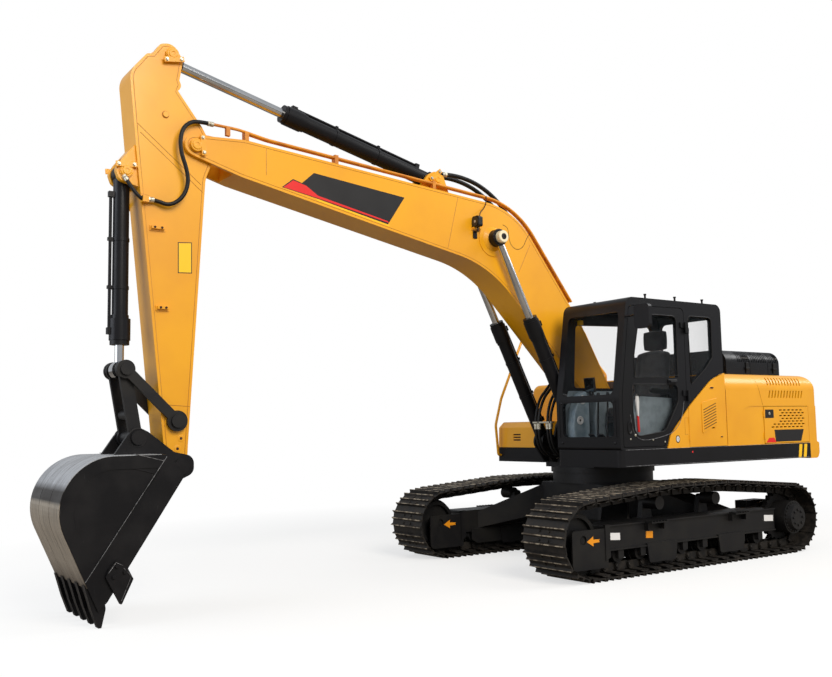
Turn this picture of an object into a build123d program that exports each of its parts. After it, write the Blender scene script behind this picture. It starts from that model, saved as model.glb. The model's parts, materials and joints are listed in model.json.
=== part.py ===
from build123d import *
import math
import os

# Crawler excavator, about 21 t, in the pose it is parked in: boom raised, arm hanging, bucket on its teeth.
# Millimetres. Origin on the ground under the slew axis, +X ahead (towards the bucket), +Y left (cab side), +Z up.

# ---------------------------------------------------------------- undercarriage
gauge = 2380                 # between the middles of the two tracks
shoe_width = 600
tumbler_span = 3474          # idler centre to sprocket centre
axle_height = 410            # also the radius out to the grouser tips
link_count = 46              # shoes on one track
grouser_height = 26
grouser_tip = 11
grouser_foot = 32
shoe_thickness = 12
shoe_gap = 8
shoe_web = 4                 # what is left of a shoe where it meets the next
link_height = 100            # chain rail, from the shoe to the tread of the rollers
rail_width = 50
rail_gap = 84                # between the two rails of a chain
carrier_offset = 480         # carrier rollers ahead of and behind the slew axis
carrier_radius = 75
track_top = 915              # grouser tips over the carrier rollers
roller_radius = 80
roller_count = 8
roller_inset = 557           # foremost track roller behind the idler
roller_pitch = 337
roller_length = 226
frame_half_width = 160       # side frame, about the middle of its track
frame_bottom = 272
frame_top = 532
frame_wall = 14
frame_lip = 16               # lips along the frame's upper and lower edges
frame_front_inset = 337      # frame's front end behind the idler
frame_rear_inset = 277       # frame's rear end ahead of the sprocket
cover_reach = 153            # idler cover plates ahead of the idler
cover_bottom = 112
cover_top = 506
cover_thickness = 20
guard_bottom = 100           # track guards between the rollers
guard_length = 420
guard_spots = (560, -620)
hub_radius = 165             # final drive cover
hub_reach = 1488
sprocket_teeth = 21
tooth_reach = 34
seat_gap = 0.3               # between round faces that bear on each other
car_half = 560               # centre box of the car body
car_bottom = 470
car_top = 870
leg_end = 930                # where a leg meets its side frame
tow_x = 640                  # tow eyes at the car body's ends
tow_z = 560
tow_bore = 28
tow_thickness = 40
tow_half = 85
pad_spots = (690, -720)      # step pads on the side frames
pad_length = 260
pad_reach = 110

# ---------------------------------------------------------------- slew ring and deck
ring_radius = 620
ring_top = 1056
deck_bottom = 1106
deck_top = 1287
deck_half = 1355
deck_plate = 40
skirt = 70
deck_rear = -2280
tail_depth = 540             # counterweight behind the deck, on the centre line
cab_deck_front = 1134
box_deck_front = 530
centre_front = 560
centre_half = 400
centre_drop = 46             # centre frame below the deck's underside
foot_hose_spots = (-150, -85, 50, 115)
foot_hose_radius = 17

# ---------------------------------------------------------------- boom, arm and bucket pins
foot_x, foot_z = 130, 1830           # boom foot
lift_x, lift_z = 680, 1370           # boom cylinders' lower pins
rise_x, rise_z = 1830, 3650          # boom cylinders' rod pins on the boom
tip_x, tip_z = 5328, 4167            # arm pivot
crowd_x, crowd_z = 2530, 4255        # arm cylinder's base pin
crown_ahead, crown_above = 215, 823  # arm cylinder's rod pin from the arm pivot
curl_ahead, curl_below = 617, 307    # bucket cylinder's head pin from the arm pivot
bucket_ahead, bucket_drop = 137, 2912    # bucket pin from the arm pivot
rocker_ahead, rocker_above = 30, 403     # rocker pin from the bucket pin
knee_ahead, knee_above = 460, 450        # rocker, link and bucket rod's shared pin from the rocker pin
ear_ahead, ear_above = 386, 262          # link pin from the bucket pin
pin_play = 0.05

# ---------------------------------------------------------------- working equipment
boom_half = 200
arm_half = 156
fork_play = 8                        # arm to the cheeks of the boom's fork
link_play = 6                        # between the arm, the rocker, the link and the bucket's ears
boss_radius = 150
boss_reach = 244                     # boom boss round the rod pins
fork_depth = 378                     # fork's slot behind the arm pivot
lamp_x, lamp_z = 2085, 3810          # work lamp on the boom's left side
rod_plane = 292.5                    # middle of each boom cylinder, left and right
boom_eye_width = 85
boom_eye_radius = 92
bracket_inner = 208                  # boom bracket plates on the deck
bracket_outer = 238
outer_ear_inner = 345
outer_ear_outer = 370
ear_radius = 104
pin_radius = 40
foot_pin_radius = 45
lug_half = 128                       # ears of the bucket cylinder's head pin
lug_slot = 72
fitting_x = 440                      # where the bucket cylinder's hoses reach the arm, ahead of the arm pivot
# bosses on the arm's sides, from the arm pivot: x, z, radius, height
arm_bosses = ((272, 253, 26, 14),)
crowd_ear_inner = 90                 # ears of the arm cylinder's base pin
crowd_ear_outer = 130

# cylinders: tube radius, gland radius, rod radius, length from pin to gland end, rod length,
# eye radius, width of the base eye, width of the rod eye, where the tube starts
boom_cylinder = (76, 90, 43, 1580, 1550, 92, 85, 85, 122)
arm_cylinder = (82, 98, 48, 1875, 1850, 92, 164, 104, 80)
bucket_cylinder = (70, 92, 40, 1530, 1450, 78, 136, 104, 60)
bore_play = 0.3
pipe_radius = 14

rocker_plate = 35
link_plate = 40
cap_height = 24                      # caps on the linkage pins
bucket_half = 475
bucket_wall = 30
rim_width = 108                      # doubling band round the edge of a bucket side
rim_thickness = 7
cutter_thickness = 30
lip_lean = 0.44                      # lip plate, run per drop
tooth_count = 5
tooth_inset = 48                     # outer teeth in from the bucket's sides
tooth_width = 74
pipe_clamp = 30                      # clamp bands on the barrels
hose_radius = 19

# ---------------------------------------------------------------- cab
cab_rear = -620
cab_width = 935
cab_roof = 2918
cab_wall = 50
glass_depth = 14
glass_thickness = 7
door_play = 6
louvre_x, louvre_z, louvre_pitch, louvre_length, louvre_count = -330, 1500, 38, 190, 8
knuckle_radius = 11
knuckle_height = 70
knuckle_play = 0.3
door_hinge_out = 26                  # cab door's hinge pins, out from the cab's side

# ---------------------------------------------------------------- engine end
body_top = 2130
seam_z = 1745                # seam between the side doors and the panels above
tail_step = 40               # counterweight's bulge along its lower edge
weight_core = 1500           # inner radius of the casting's section
lifting_spots = (-700, 700)  # lifting holes in the counterweight's top
shoulder = 175
panel = 30
panel_front = -640
rear_door_front = -1350
press_depth = 6
air_pitch, air_width, air_skew, air_count = 60, 24, -26, 12
air_rows = ((-1470, 2042, 92, 130), (-1480, 1888, 88, 60))   # first x, z, height, depth of cut
brick_first, brick_pitch, brick_size = (-1690, 1492), (84, 34), (58, 14)
brick_rows, brick_columns = 7, 6
hood_front = -1150
hood_rear = -2240
hood_left = 1000
hood_right = -600
hood_top = 2450
hood_wall = 25
hood_crown = 14              # raised hood sections above the skin between them
# front end, rear end, first slot and number of slots of each raised section
hood_sections = ((-1156, -1624, -1385, 7), (-1632, -1992, -1660, 9), (-2000, -2234, -2024, 6))
hood_slot_pitch, hood_slot_width = 36, 17
hood_play = 0.3
tank_front = -100
tank_rear = -760
tank_width = 755
box_top = 1610

# ---------------------------------------------------------------- places worked out from the sizes above
idler_x = tumbler_span / 2
sprocket_x = -idler_x
frame_front = idler_x - frame_front_inset
frame_rear = sprocket_x + frame_rear_inset
cover_front = idler_x + cover_reach
tail_radius = tail_depth - deck_rear
centre_bottom = deck_bottom - centre_drop
cab_left = deck_half
cab_right = cab_left - cab_width
cab_floor = deck_top
tank_inner = tank_width - deck_half
crown_x, crown_z = tip_x + crown_ahead, tip_z + crown_above
curl_x, curl_z = tip_x + curl_ahead, tip_z - curl_below
bucket_x, bucket_z = tip_x + bucket_ahead, tip_z - bucket_drop
rocker_x, rocker_z = bucket_x + rocker_ahead, bucket_z + rocker_above
knee_x, knee_z = rocker_x + knee_ahead, rocker_z + knee_above
ear_x, ear_z = bucket_x + ear_ahead, bucket_z + ear_above
fork_half = arm_half + fork_play
rocker_inner = arm_half + link_play
rocker_outer = rocker_inner + rocker_plate
link_outer = rocker_inner - link_play
link_inner = link_outer - link_plate

os.makedirs("parts", exist_ok=True)


def side(y):
    """Plane across the machine at y: its own x is X, its y is Z, and extrude goes towards -Y."""
    return Plane.XZ.offset(-y)


def outline(corners, plane, depth, mode=Mode.ADD):
    """Extrude a closed outline; each row of corners is across, up, corner radius."""
    with BuildSketch(plane) as section:
        with BuildLine():
            FilletPolyline([(across, up) for across, up, _ in corners],
                           radius=[radius for _, _, radius in corners], close=True)
        make_face()
    extrude(section.sketch, amount=depth, mode=mode)


def slab(corners, y_low, y_high, mode=Mode.ADD):
    outline(corners, side(y_high), y_high - y_low, mode)


def block(x_span, y_span, z_span, mode=Mode.ADD):
    with BuildSketch(Plane.XY.offset(z_span[0])) as section:
        with Locations(((x_span[0] + x_span[1]) / 2, (y_span[0] + y_span[1]) / 2)):
            Rectangle(x_span[1] - x_span[0], y_span[1] - y_span[0])
    extrude(section.sketch, amount=z_span[1] - z_span[0], mode=mode)


def crosswise(x, z, radius, y_low, y_high, mode=Mode.ADD):
    """A round bar, boss or bore along Y."""
    with BuildSketch(side(y_high)) as section:
        with Locations((x, z)):
            Circle(radius)
    extrude(section.sketch, amount=y_high - y_low, mode=mode)


def bore(x, z, radius, y_half=1400):
    crosswise(x, z, radius + pin_play, -y_half, y_half, Mode.SUBTRACT)


def upright(x, y, radius, z_low, height, mode=Mode.ADD):
    """A round bar or bore along Z."""
    with BuildSketch(Plane.XY.offset(z_low)) as section:
        with Locations((x, y)):
            Circle(radius)
    extrude(section.sketch, amount=height, mode=mode)


def beside(inner, outer, face, middle=0):
    """Low and high y of what reaches from inner to outer on one side of middle; face is 1 or -1."""
    return sorted((middle + face * inner, middle + face * outer))


def moved(x, z, rows):
    """Rows of an outline given from a pin, placed at that pin."""
    return [(x + across, z + up, radius) for across, up, radius in rows]


def slots(plane, places, width, height, skew, depth):
    """Slots cut through a panel: parallelograms about each place, leaning by skew."""
    with BuildSketch(plane) as pattern:
        with Locations(*places):
            Polygon((-width / 2 - skew / 2, -height / 2), (width / 2 - skew / 2, -height / 2),
                    (width / 2 + skew / 2, height / 2), (-width / 2 + skew / 2, height / 2), align=None)
    extrude(pattern.sketch, amount=depth, mode=Mode.SUBTRACT)


def tube(route, bends, radius, mode=Mode.ADD):
    """A round pipe along straight runs joined by arcs; bends is one radius or one for each corner."""
    with BuildLine() as path:
        FilletPolyline(*route, radius=bends)
    with BuildSketch(Plane(origin=path.line @ 0, z_dir=path.line % 0)) as section:
        Circle(radius)
    sweep(section.sketch, path=path.line, mode=mode)


def hose(route, radius=hose_radius, mode=Mode.ADD):
    """A hose: each bend is as large as the two runs beside it allow."""
    bends = []
    for before, here, after in zip(route, route[1:], route[2:]):
        first, second = Vector(*here) - Vector(*before), Vector(*after) - Vector(*here)
        turn = math.radians(first.get_angle(second))
        bends.append(0.45 * min(first.length, second.length) / math.tan(turn / 2))
    tube(route, bends, radius, mode)


def keep(item, label):
    item.part.label = label
    export_step(item.part, f"parts/{label}.step")


# ================================================================ undercarriage
shoe_depth = grouser_height + shoe_thickness
chain_depth = shoe_depth + link_height
tread_radius = axle_height - chain_depth
carrier_z = track_top - chain_depth - carrier_radius
roller_z = chain_depth + roller_radius
track_sides = (("left", gauge / 2), ("right", -gauge / 2))

# the chain's tread line turns about the idler, the two carrier rollers and the sprocket;
# rows are x, z, radius, first and last angle of its outward normal
drop = math.atan2(axle_height - carrier_z, idler_x - carrier_offset)
lean = drop + math.acos((carrier_radius - tread_radius) / math.hypot(idler_x - carrier_offset, axle_height - carrier_z))
turns = ((idler_x, axle_height, tread_radius, -math.pi / 2, lean),
         (carrier_offset, carrier_z, carrier_radius, lean, math.pi / 2),
         (-carrier_offset, carrier_z, carrier_radius, math.pi / 2, math.pi - lean),
         (sprocket_x, axle_height, tread_radius, math.pi - lean, 1.5 * math.pi))


def tread_runs():
    """The tread line as runs: length, start point, and either an arc's centre and radius or a straight's heading."""
    runs = []
    for number, (x, z, radius, first, last) in enumerate(turns):
        next_x, next_z, next_radius = turns[(number + 1) % len(turns)][:3]
        start_x, start_z = x + radius * math.cos(last), z + radius * math.sin(last)
        end_x, end_z = next_x + next_radius * math.cos(last), next_z + next_radius * math.sin(last)
        runs.append((radius * (last - first), x, z, radius, first))
        runs.append((math.hypot(end_x - start_x, end_z - start_z), start_x, start_z, 0, last))
    return runs


tread_length = sum(run[0] for run in tread_runs())
link_pitch = tread_length / link_count


def tread_place(distance):
    """Point on the tread line and the angle of its outward normal, at a distance from under the idler."""
    for length, x, z, radius, angle in tread_runs():
        if distance <= length and radius:
            angle += distance / radius
            return x + radius * math.cos(angle), z + radius * math.sin(angle), angle
        if distance <= length:
            return x - distance * math.sin(angle), z + distance * math.cos(angle), angle
        distance -= length


pins = [tread_place(number * link_pitch)[:2] for number in range(link_count)]
# each link: its middle, between two pins, and the angle of its outward normal
links = [((x1 + x2) / 2, (z1 + z2) / 2, math.atan2(z2 - z1, x2 - x1) - math.pi / 2)
         for (x1, z1), (x2, z2) in zip(pins, pins[1:] + pins[:1])]
# wheels are smaller than the tread line by the dip of a straight link over them
wheel_radius = math.sqrt(tread_radius ** 2 - link_pitch ** 2 / 4) - seat_gap
carrier_wheel = carrier_radius - link_pitch / 2 * math.tan(abs(lean - math.pi / 2) / 2) - seat_gap


def on_link(link, along, rise):
    x, z, angle = link
    return (x - along * math.sin(angle) + rise * math.cos(angle), z + along * math.cos(angle) + rise * math.sin(angle))


def between(link, other, rise):
    """Where a link meets the next, at a height above the tread line."""
    (x1, z1), (x2, z2) = on_link(link, 0, rise), on_link(other, 0, rise)
    turn = math.sin(other[2] - link[2])
    if abs(turn) < 1e-6:
        return (x1 + x2) / 2, (z1 + z2) / 2
    return on_link(link, ((x2 - x1) * math.cos(other[2]) + (z2 - z1) * math.sin(other[2])) / turn, rise)


def link_ring(rise):
    return [between(link, links[(number + 1) % link_count], rise) for number, link in enumerate(links)]


def shoe_ring():
    """Outline of the shoes: three grousers each, and a notch where two shoes meet."""
    half = (link_pitch - shoe_gap) / 2
    top, base = link_height + shoe_thickness + grouser_height, link_height + shoe_thickness
    shoe = [(-half, top), (-half + grouser_tip, top), (-half + grouser_foot, base), (-grouser_foot / 2, base),
            (-grouser_tip / 2, top), (grouser_tip / 2, top), (grouser_foot / 2, base), (half - grouser_foot, base),
            (half - grouser_tip, top), (half, top)]
    points = []
    for number, link in enumerate(links):
        points.append(between(links[number - 1], link, link_height + shoe_web))
        points.extend(on_link(link, along, rise) for along, rise in shoe)
    return points


def loop(outer, inner, y_high, width):
    with BuildSketch(side(y_high)) as section:
        with BuildLine():
            Polyline(*outer, close=True)
        make_face()
        with BuildLine():
            Polyline(*inner, close=True)
        make_face(mode=Mode.SUBTRACT)
    extrude(section.sketch, amount=width)


for name, y in track_sides:
    with BuildPart() as track:
        loop(shoe_ring(), link_ring(link_height), y + shoe_width / 2, shoe_width)
        for rail_y in (y - rail_gap / 2, y + rail_gap / 2 + rail_width):
            loop(link_ring(link_height + shoe_web / 2), link_ring(0), rail_y, rail_width)
    keep(track, f"track_{name}")

with BuildPart() as idlers:
    for _, y in track_sides:
        crosswise(idler_x, axle_height, wheel_radius, y - 92, y + 92)
        crosswise(idler_x, axle_height, wheel_radius + 26, y - 34, y + 34)
        for face in (1, -1):
            with BuildSketch(side(y + face * 92)):
                with Locations((idler_x, axle_height)):
                    Circle(wheel_radius - 40)
                    Circle(96, mode=Mode.SUBTRACT)
            extrude(amount=face * 42, mode=Mode.SUBTRACT)
        crosswise(idler_x, axle_height, 45, y - frame_half_width, y + frame_half_width)
keep(idlers, "idlers")

with BuildPart() as sprockets:
    for _, y in track_sides:
        with BuildSketch(side(y + 32)):
            with Locations((sprocket_x, axle_height)):
                Circle(wheel_radius + tooth_reach)
                with PolarLocations(wheel_radius + tooth_reach + 6, sprocket_teeth):
                    Circle(30, mode=Mode.SUBTRACT)
        extrude(amount=64)
keep(sprockets, "sprockets")

with BuildPart() as final_drives:
    for _, y in track_sides:
        out = 1 if y > 0 else -1
        reach = hub_reach - abs(y) - 32
        with BuildSketch(side(y + out * 32)):
            with Locations((sprocket_x, axle_height)):
                Circle(hub_radius + 30)
        extrude(amount=-out * (reach - 60))
        with BuildSketch(side(out * (hub_reach - 60))):
            with Locations((sprocket_x, axle_height)):
                Circle(hub_radius)
        extrude(amount=-out * 60, taper=20)
        with BuildSketch(side(y - out * 32)):
            with Locations((sprocket_x, axle_height)):
                Circle(hub_radius - 15)
        extrude(amount=out * (frame_half_width - 32))
keep(final_drives, "final_drives")

with BuildPart() as rollers:
    for _, y in track_sides:
        for number in range(roller_count):
            x = idler_x - roller_inset - number * roller_pitch
            crosswise(x, roller_z, roller_radius - seat_gap, y - roller_length / 2, y + roller_length / 2)
            crosswise(x, roller_z, roller_radius + 18, y - 34, y + 34)
            for face in (-1, 1):
                low, high = sorted((y + face * roller_length / 2, y + face * frame_half_width))
                slab([(x - 40, roller_z - 36, 12), (x + 40, roller_z - 36, 12),
                      (x + 40, frame_bottom, 0), (x - 40, frame_bottom, 0)], low, high)
        for x in (carrier_offset, -carrier_offset):
            crosswise(x, carrier_z, carrier_wheel, y - 92, y + 92)
keep(rollers, "rollers")

with BuildPart() as side_frames:
    for _, y in track_sides:
        slab([(frame_rear, frame_bottom, 0), (frame_front, frame_bottom, 0), (frame_front, frame_top, 20),
              (frame_rear, frame_top, 20)], y - frame_half_width, y + frame_half_width)
        slab([(frame_rear - 10, frame_bottom - 10, 0), (frame_front - 60, frame_bottom - 10, 0),
              (frame_front - 60, frame_top - 2 * frame_wall, 0), (frame_rear - 10, frame_top - 2 * frame_wall, 0)],
             y - frame_half_width + frame_wall, y + frame_half_width - frame_wall, Mode.SUBTRACT)
        out = 1 if y > 0 else -1
        for low_z in (frame_bottom, frame_top - frame_lip):
            block((frame_rear, frame_front), beside(frame_half_width - 2, frame_half_width + frame_lip, out, y),
                  (low_z, low_z + frame_lip))
            low, high = beside(frame_half_width, frame_half_width + cover_thickness, face, y)
            slab([(frame_front - 10, cover_bottom, 20), (cover_front, cover_bottom, 60), (cover_front, cover_top, 30),
                  (frame_front - 10, cover_top, 0)], low, high)
            slab([(frame_front - 40, frame_bottom - 60, 0), (frame_front + 30, frame_bottom - 90, 0),
                  (frame_front + 30, frame_top + 8, 0), (frame_front - 40, frame_top + 8, 0)],
                 *beside(frame_half_width - 2, frame_half_width + cover_thickness + 8, face, y))
            crosswise(idler_x, axle_height, 45 + pin_play, low, high, Mode.SUBTRACT)
            for x in guard_spots:
                slab([(x - guard_length / 2, guard_bottom, 30), (x + guard_length / 2, guard_bottom, 30),
                      (x + guard_length / 2 + 30, frame_bottom + 30, 0),
                      (x - guard_length / 2 - 30, frame_bottom + 30, 0)], low, high)
        # step pads on the outer side, each on two brackets, with a toothed tread
        out = 1 if y > 0 else -1
        for x in pad_spots:
            span = beside(frame_half_width, frame_half_width + pad_reach, out, y)
            block((x - pad_length / 2, x + pad_length / 2), span, (frame_top - 16, frame_top - 4))
            for x_end in (x - pad_length / 2, x + pad_length / 2 - 12):
                slab([(x_end, frame_top - 90, 0), (x_end + 12, frame_top - 90, 0), (x_end + 12, frame_top - 10, 0),
                      (x_end, frame_top - 10, 0)], *beside(frame_half_width, frame_half_width + 60, out, y))
            for number in range(6):
                block((x - pad_length / 2 + 6 + number * 48, x - pad_length / 2 + 18 + number * 48),
                      beside(frame_half_width + 10, frame_half_width + pad_reach, out, y), (frame_top - 6, frame_top + 8))
        # rear plate that carries the final drive, on the inner side of the sprocket
        low, high = beside(frame_half_width - 30, frame_half_width, -out, y)
        slab([(frame_rear + 40, frame_bottom, 0), (frame_rear + 40, frame_top, 0), (sprocket_x, axle_height + 190, 120),
              (sprocket_x - 190, axle_height, 120), (sprocket_x, axle_height - 190, 120)], low, high)
        crosswise(sprocket_x, axle_height, hub_radius - 15, low, high, Mode.SUBTRACT)
        # carrier roller posts
        for x in (carrier_offset, -carrier_offset):
            slab([(x - 90, frame_top - 20, 0), (x + 90, frame_top - 20, 0), (x + 45, carrier_z + 40, 40),
                  (x - 45, carrier_z + 40, 40)], *beside(96, frame_half_width, -out, y))
            crosswise(x, carrier_z, 30, *beside(92, 110, -out, y))
keep(side_frames, "side_frames")

with BuildPart() as car_body:
    with BuildSketch(Plane.XY.offset(car_bottom)):
        RectangleRounded(2 * car_half, 2 * car_half, 120)
    extrude(amount=car_top - car_bottom)
    with BuildSketch(Plane.XY.offset(car_top)):
        Circle(ring_radius - 20)
    extrude(amount=ring_top - 60 - car_top)
    for out in (1, -1):
        for ahead in (1, -1):
            with BuildSketch(Plane.XZ.offset(-out * (gauge / 2 - frame_half_width))):
                with Locations((ahead * leg_end, (frame_bottom + frame_top) / 2 + 10)):
                    Rectangle(420, 200)
            with BuildSketch(Plane.XZ.offset(-out * (car_half - 60))):
                with Locations((ahead * 300, (car_bottom + car_top) / 2)):
                    Rectangle(400, car_top - car_bottom - 40)
            loft()
    for end in (1, -1):
        outline([(end * (car_half - 10), -tow_half, 0), (end * (tow_x + tow_half), -tow_half, 60),
                 (end * (tow_x + tow_half), tow_half, 60), (end * (car_half - 10), tow_half, 0)],
                Plane.XY.offset(tow_z - tow_thickness / 2), tow_thickness)
        upright(end * tow_x, 0, tow_bore, tow_z - tow_thickness, 2 * tow_thickness, Mode.SUBTRACT)
keep(car_body, "car_body")

with BuildPart() as slew_ring:
    with BuildSketch(Plane.XY.offset(ring_top - 60)):
        Circle(ring_radius)
        Circle(ring_radius - 110, mode=Mode.SUBTRACT)
    extrude(amount=60)
keep(slew_ring, "slew_ring")

# ================================================================ upper structure
ear_profile = [(lift_x - 330, centre_bottom + 60, 0), (lift_x - 60, centre_bottom + 60, 0),
               (lift_x + 80, lift_z - 66, 0), (lift_x, lift_z, 0), (lift_x - 95, lift_z + 40, 0),
               (lift_x - 230, lift_z + 20, 60)]
bracket_profile = [(-420, centre_bottom + 60, 0), (lift_x - 60, centre_bottom + 60, 0), (lift_x + 80, lift_z - 66, 0),
                   (lift_x, lift_z, 0), (lift_x - 96, lift_z + 40, 0), (lift_x - 140, lift_z + 190, 120),
                   (foot_x + 190, foot_z + 60, 120), (foot_x + 20, foot_z + 170, 130),
                   (foot_x - 160, foot_z + 60, 120), (-420, deck_top + 120, 60)]

with BuildPart() as main_frame:
    block((deck_rear, centre_front), (-centre_half, centre_half), (centre_bottom, deck_top))
    with BuildSketch(Plane.XY.offset(ring_top + seat_gap)):
        Circle(ring_radius - 10)
    extrude(amount=centre_bottom + 5 - ring_top - seat_gap)
    for face in (1, -1):
        low, high = sorted((face * bracket_inner, face * bracket_outer))
        slab(bracket_profile, low, high)
        crosswise(lift_x, lift_z, ear_radius, low, high)
        low, high = sorted((face * outer_ear_inner, face * outer_ear_outer))
        slab(ear_profile, low, high)
        crosswise(lift_x, lift_z, ear_radius, low, high)
        crosswise(lift_x, lift_z, pin_radius, *sorted((face * bracket_inner, face * (outer_ear_outer + 20))))
        crosswise(foot_x, foot_z, foot_pin_radius + 30, *sorted((face * bracket_outer, face * (bracket_outer + 24))))
    crosswise(foot_x, foot_z, foot_pin_radius, -bracket_outer, bracket_outer)
keep(main_frame, "main_frame")

with BuildPart() as deck:
    left_plan = [(deck_rear, centre_half, 0), (centre_front + 5, centre_half, 0), (centre_front + 5, cab_right, 0),
                 (cab_deck_front, cab_right, 40), (cab_deck_front, deck_half, 60), (deck_rear, deck_half, 0)]
    right_plan = [(deck_rear, -centre_half, 0), (box_deck_front, -centre_half, 0), (box_deck_front, -deck_half, 50),
                  (deck_rear, -deck_half, 0)]
    for plan in (left_plan, right_plan):
        outline(plan, Plane.XY.offset(deck_bottom), deck_top - deck_bottom)
    lowered = deck_top - deck_plate
    block((deck_rear - 10, cab_deck_front - skirt), (cab_right + skirt, deck_half - skirt),
          (deck_bottom - 10, lowered), Mode.SUBTRACT)
    block((deck_rear - 10, box_deck_front - skirt), (-deck_half + skirt, -centre_half - skirt),
          (deck_bottom - 10, lowered), Mode.SUBTRACT)
keep(deck, "deck")

# ---------------------------------------------------------------- counterweight
shell_section = [(-deck_half, deck_top, 0), (-deck_half, body_top, shoulder), (deck_half, body_top, shoulder),
                 (deck_half, deck_top, 0)]
weight_section = [(-deck_half, deck_bottom - 20, 0)] + shell_section[1:3] + [(deck_half, deck_bottom - 20, 0)]
# half section from the slew axis outwards: radius, z, corner radius
weight_profile = [(weight_core, deck_bottom - 10, 0), (tail_radius - 30, deck_bottom - 10, 50),
                  (tail_radius, deck_bottom + 60, 60), (tail_radius, deck_top, 20), (tail_radius - tail_step, deck_top + 16, 20),
                  (tail_radius - tail_step, seam_z, 0), (tail_radius - tail_step - 10, seam_z, 0),
                  (tail_radius - tail_step - 10, body_top, 185), (weight_core, body_top, 0)]

with BuildPart() as counterweight:
    with BuildSketch(Plane.XZ) as half_section:
        with BuildLine():
            FilletPolyline([(-radius, z) for radius, z, _ in weight_profile],
                           radius=[bend for _, _, bend in weight_profile], close=True)
        make_face()
    revolve(half_section.sketch, axis=Axis.Z)
    outline(weight_section, Plane.YZ.offset(-tail_radius - 50), tail_radius + 50 + deck_rear, Mode.INTERSECT)
    for y in lifting_spots:
        upright(deck_rear - 260, y, 30, body_top - 120, 200, Mode.SUBTRACT)
keep(counterweight, "counterweight")

# ---------------------------------------------------------------- body shell over the engine
inner_section = [(-deck_half + panel, deck_top - 10, 0), (-deck_half + panel, body_top - panel, shoulder - panel),
                 (deck_half - panel, body_top - panel, shoulder - panel), (deck_half - panel, deck_top - 10, 0)]
grille_door = (deck_rear + 12, rear_door_front, deck_top + 8, seam_z)
rear_hinge = rear_door_front - door_play / 2
rear_knuckles = (grille_door[2] + 60, grille_door[3] - 60 - knuckle_height)

with BuildPart() as side_panels:
    outline(shell_section, Plane.YZ.offset(deck_rear), panel_front - deck_rear)
    outline(inner_section, Plane.YZ.offset(deck_rear - 5), panel_front - deck_rear + 10, Mode.SUBTRACT)
    block((hood_rear, hood_front), (hood_right, hood_left - 40), (body_top - 100, body_top + 100), Mode.SUBTRACT)
    block((tank_rear - 8, 100), (-deck_half - 10, tank_inner + 100), (deck_top - 10, body_top + 10), Mode.SUBTRACT)
    block((panel_front - panel, panel_front), (tank_inner + 100, deck_half - panel), (deck_top, body_top - panel))
    block((tank_rear - 8 - panel, tank_rear - 8), (panel - deck_half, tank_inner + 100), (deck_top, body_top - panel))
    block((tank_rear - 8 - panel, panel_front), (tank_inner + 100, tank_inner + 100 + panel),
          (deck_top, body_top - panel))
    for face in (1, -1):
        low, high = beside(deck_half - panel - 20, deck_half + 20, face)
        block((grille_door[0], grille_door[1]), (low, high), (grille_door[2], grille_door[3]), Mode.SUBTRACT)
        # pressed step that sweeps up from the deck to the seam
        slab([(panel_front - 50, deck_top - 5, 0), (panel_front - 180, seam_z, 430), (rear_door_front - 20, seam_z, 0),
              (rear_door_front - 20, deck_top - 5, 0)], *beside(deck_half - press_depth, deck_half + 20, face), Mode.SUBTRACT)
        for z in rear_knuckles:
            upright(rear_hinge, face * deck_half, knuckle_radius + knuckle_play, z - knuckle_play,
                    knuckle_height + 2 * knuckle_play, Mode.SUBTRACT)
    # air slots of the left side: one row over the shoulder, one below it
    for first_x, z, height, depth in air_rows:
        slots(side(deck_half + 5), [(first_x - number * air_pitch, z) for number in range(air_count)],
              air_width, height, air_skew, depth)
keep(side_panels, "side_panels")

for name, face in (("left_rear_door", 1), ("right_rear_door", -1)):
    with BuildPart() as rear_door:
        slab([(grille_door[0] + door_play, grille_door[2] + door_play, 0),
              (grille_door[1] - door_play, grille_door[2] + door_play, 0),
              (grille_door[1] - door_play, grille_door[3] - door_play, 0),
              (grille_door[0] + door_play, grille_door[3] - door_play, 0)], *beside(deck_half - panel, deck_half, face))
        bricks = []
        for row in range(brick_rows):
            shift = brick_pitch[0] / 2 if row % 2 else 0
            columns = range(-2 if row < 2 else 0, brick_columns)
            bricks.extend((brick_first[0] - shift - column * brick_pitch[0], brick_first[1] + row * brick_pitch[1])
                          for column in columns)
        slots(side(deck_half + 5 if face > 0 else panel + 5 - deck_half), bricks, *brick_size, 0, panel + 10)
        for z in rear_knuckles:
            upright(rear_hinge, face * deck_half, knuckle_radius, z, knuckle_height)
    keep(rear_door, name)

# ---------------------------------------------------------------- hood
def hood_arch(x_front, x_rear, inset, base, mode=Mode.ADD):
    outline([(hood_right + 6 + inset, base, 0), (hood_right + 6 + inset, hood_top - inset, 120 - inset),
             (hood_left - inset, hood_top - inset, 160 - inset), (hood_left - inset, base, 0)],
            Plane.YZ.offset(x_rear), x_front - x_rear, mode)


with BuildPart() as hood:
    hood_arch(hood_front - 6, hood_rear + 6, hood_crown, body_top + hood_play)
    for x_front, x_rear, _, _ in hood_sections:
        hood_arch(x_front, x_rear, 0, body_top + hood_play)
    hood_arch(hood_front - 6 - hood_wall, hood_rear + 6 + hood_wall, hood_wall + hood_crown, body_top - 6, Mode.SUBTRACT)
    for _, _, first_x, count in hood_sections:
        for number in range(count):
            x = first_x - number * hood_slot_pitch
            block((x - hood_slot_width, x), (hood_left - 118, hood_left + 10), (hood_top - 150, hood_top + 10),
                  Mode.SUBTRACT)
keep(hood, "hood")

with BuildPart() as engine:
    block((-2150, -1250), (-480, 480), (deck_top, 2010))
    chamfer(engine.edges().filter_by(Axis.X).group_by(Axis.Z)[-1], 90)
keep(engine, "engine")

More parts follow.
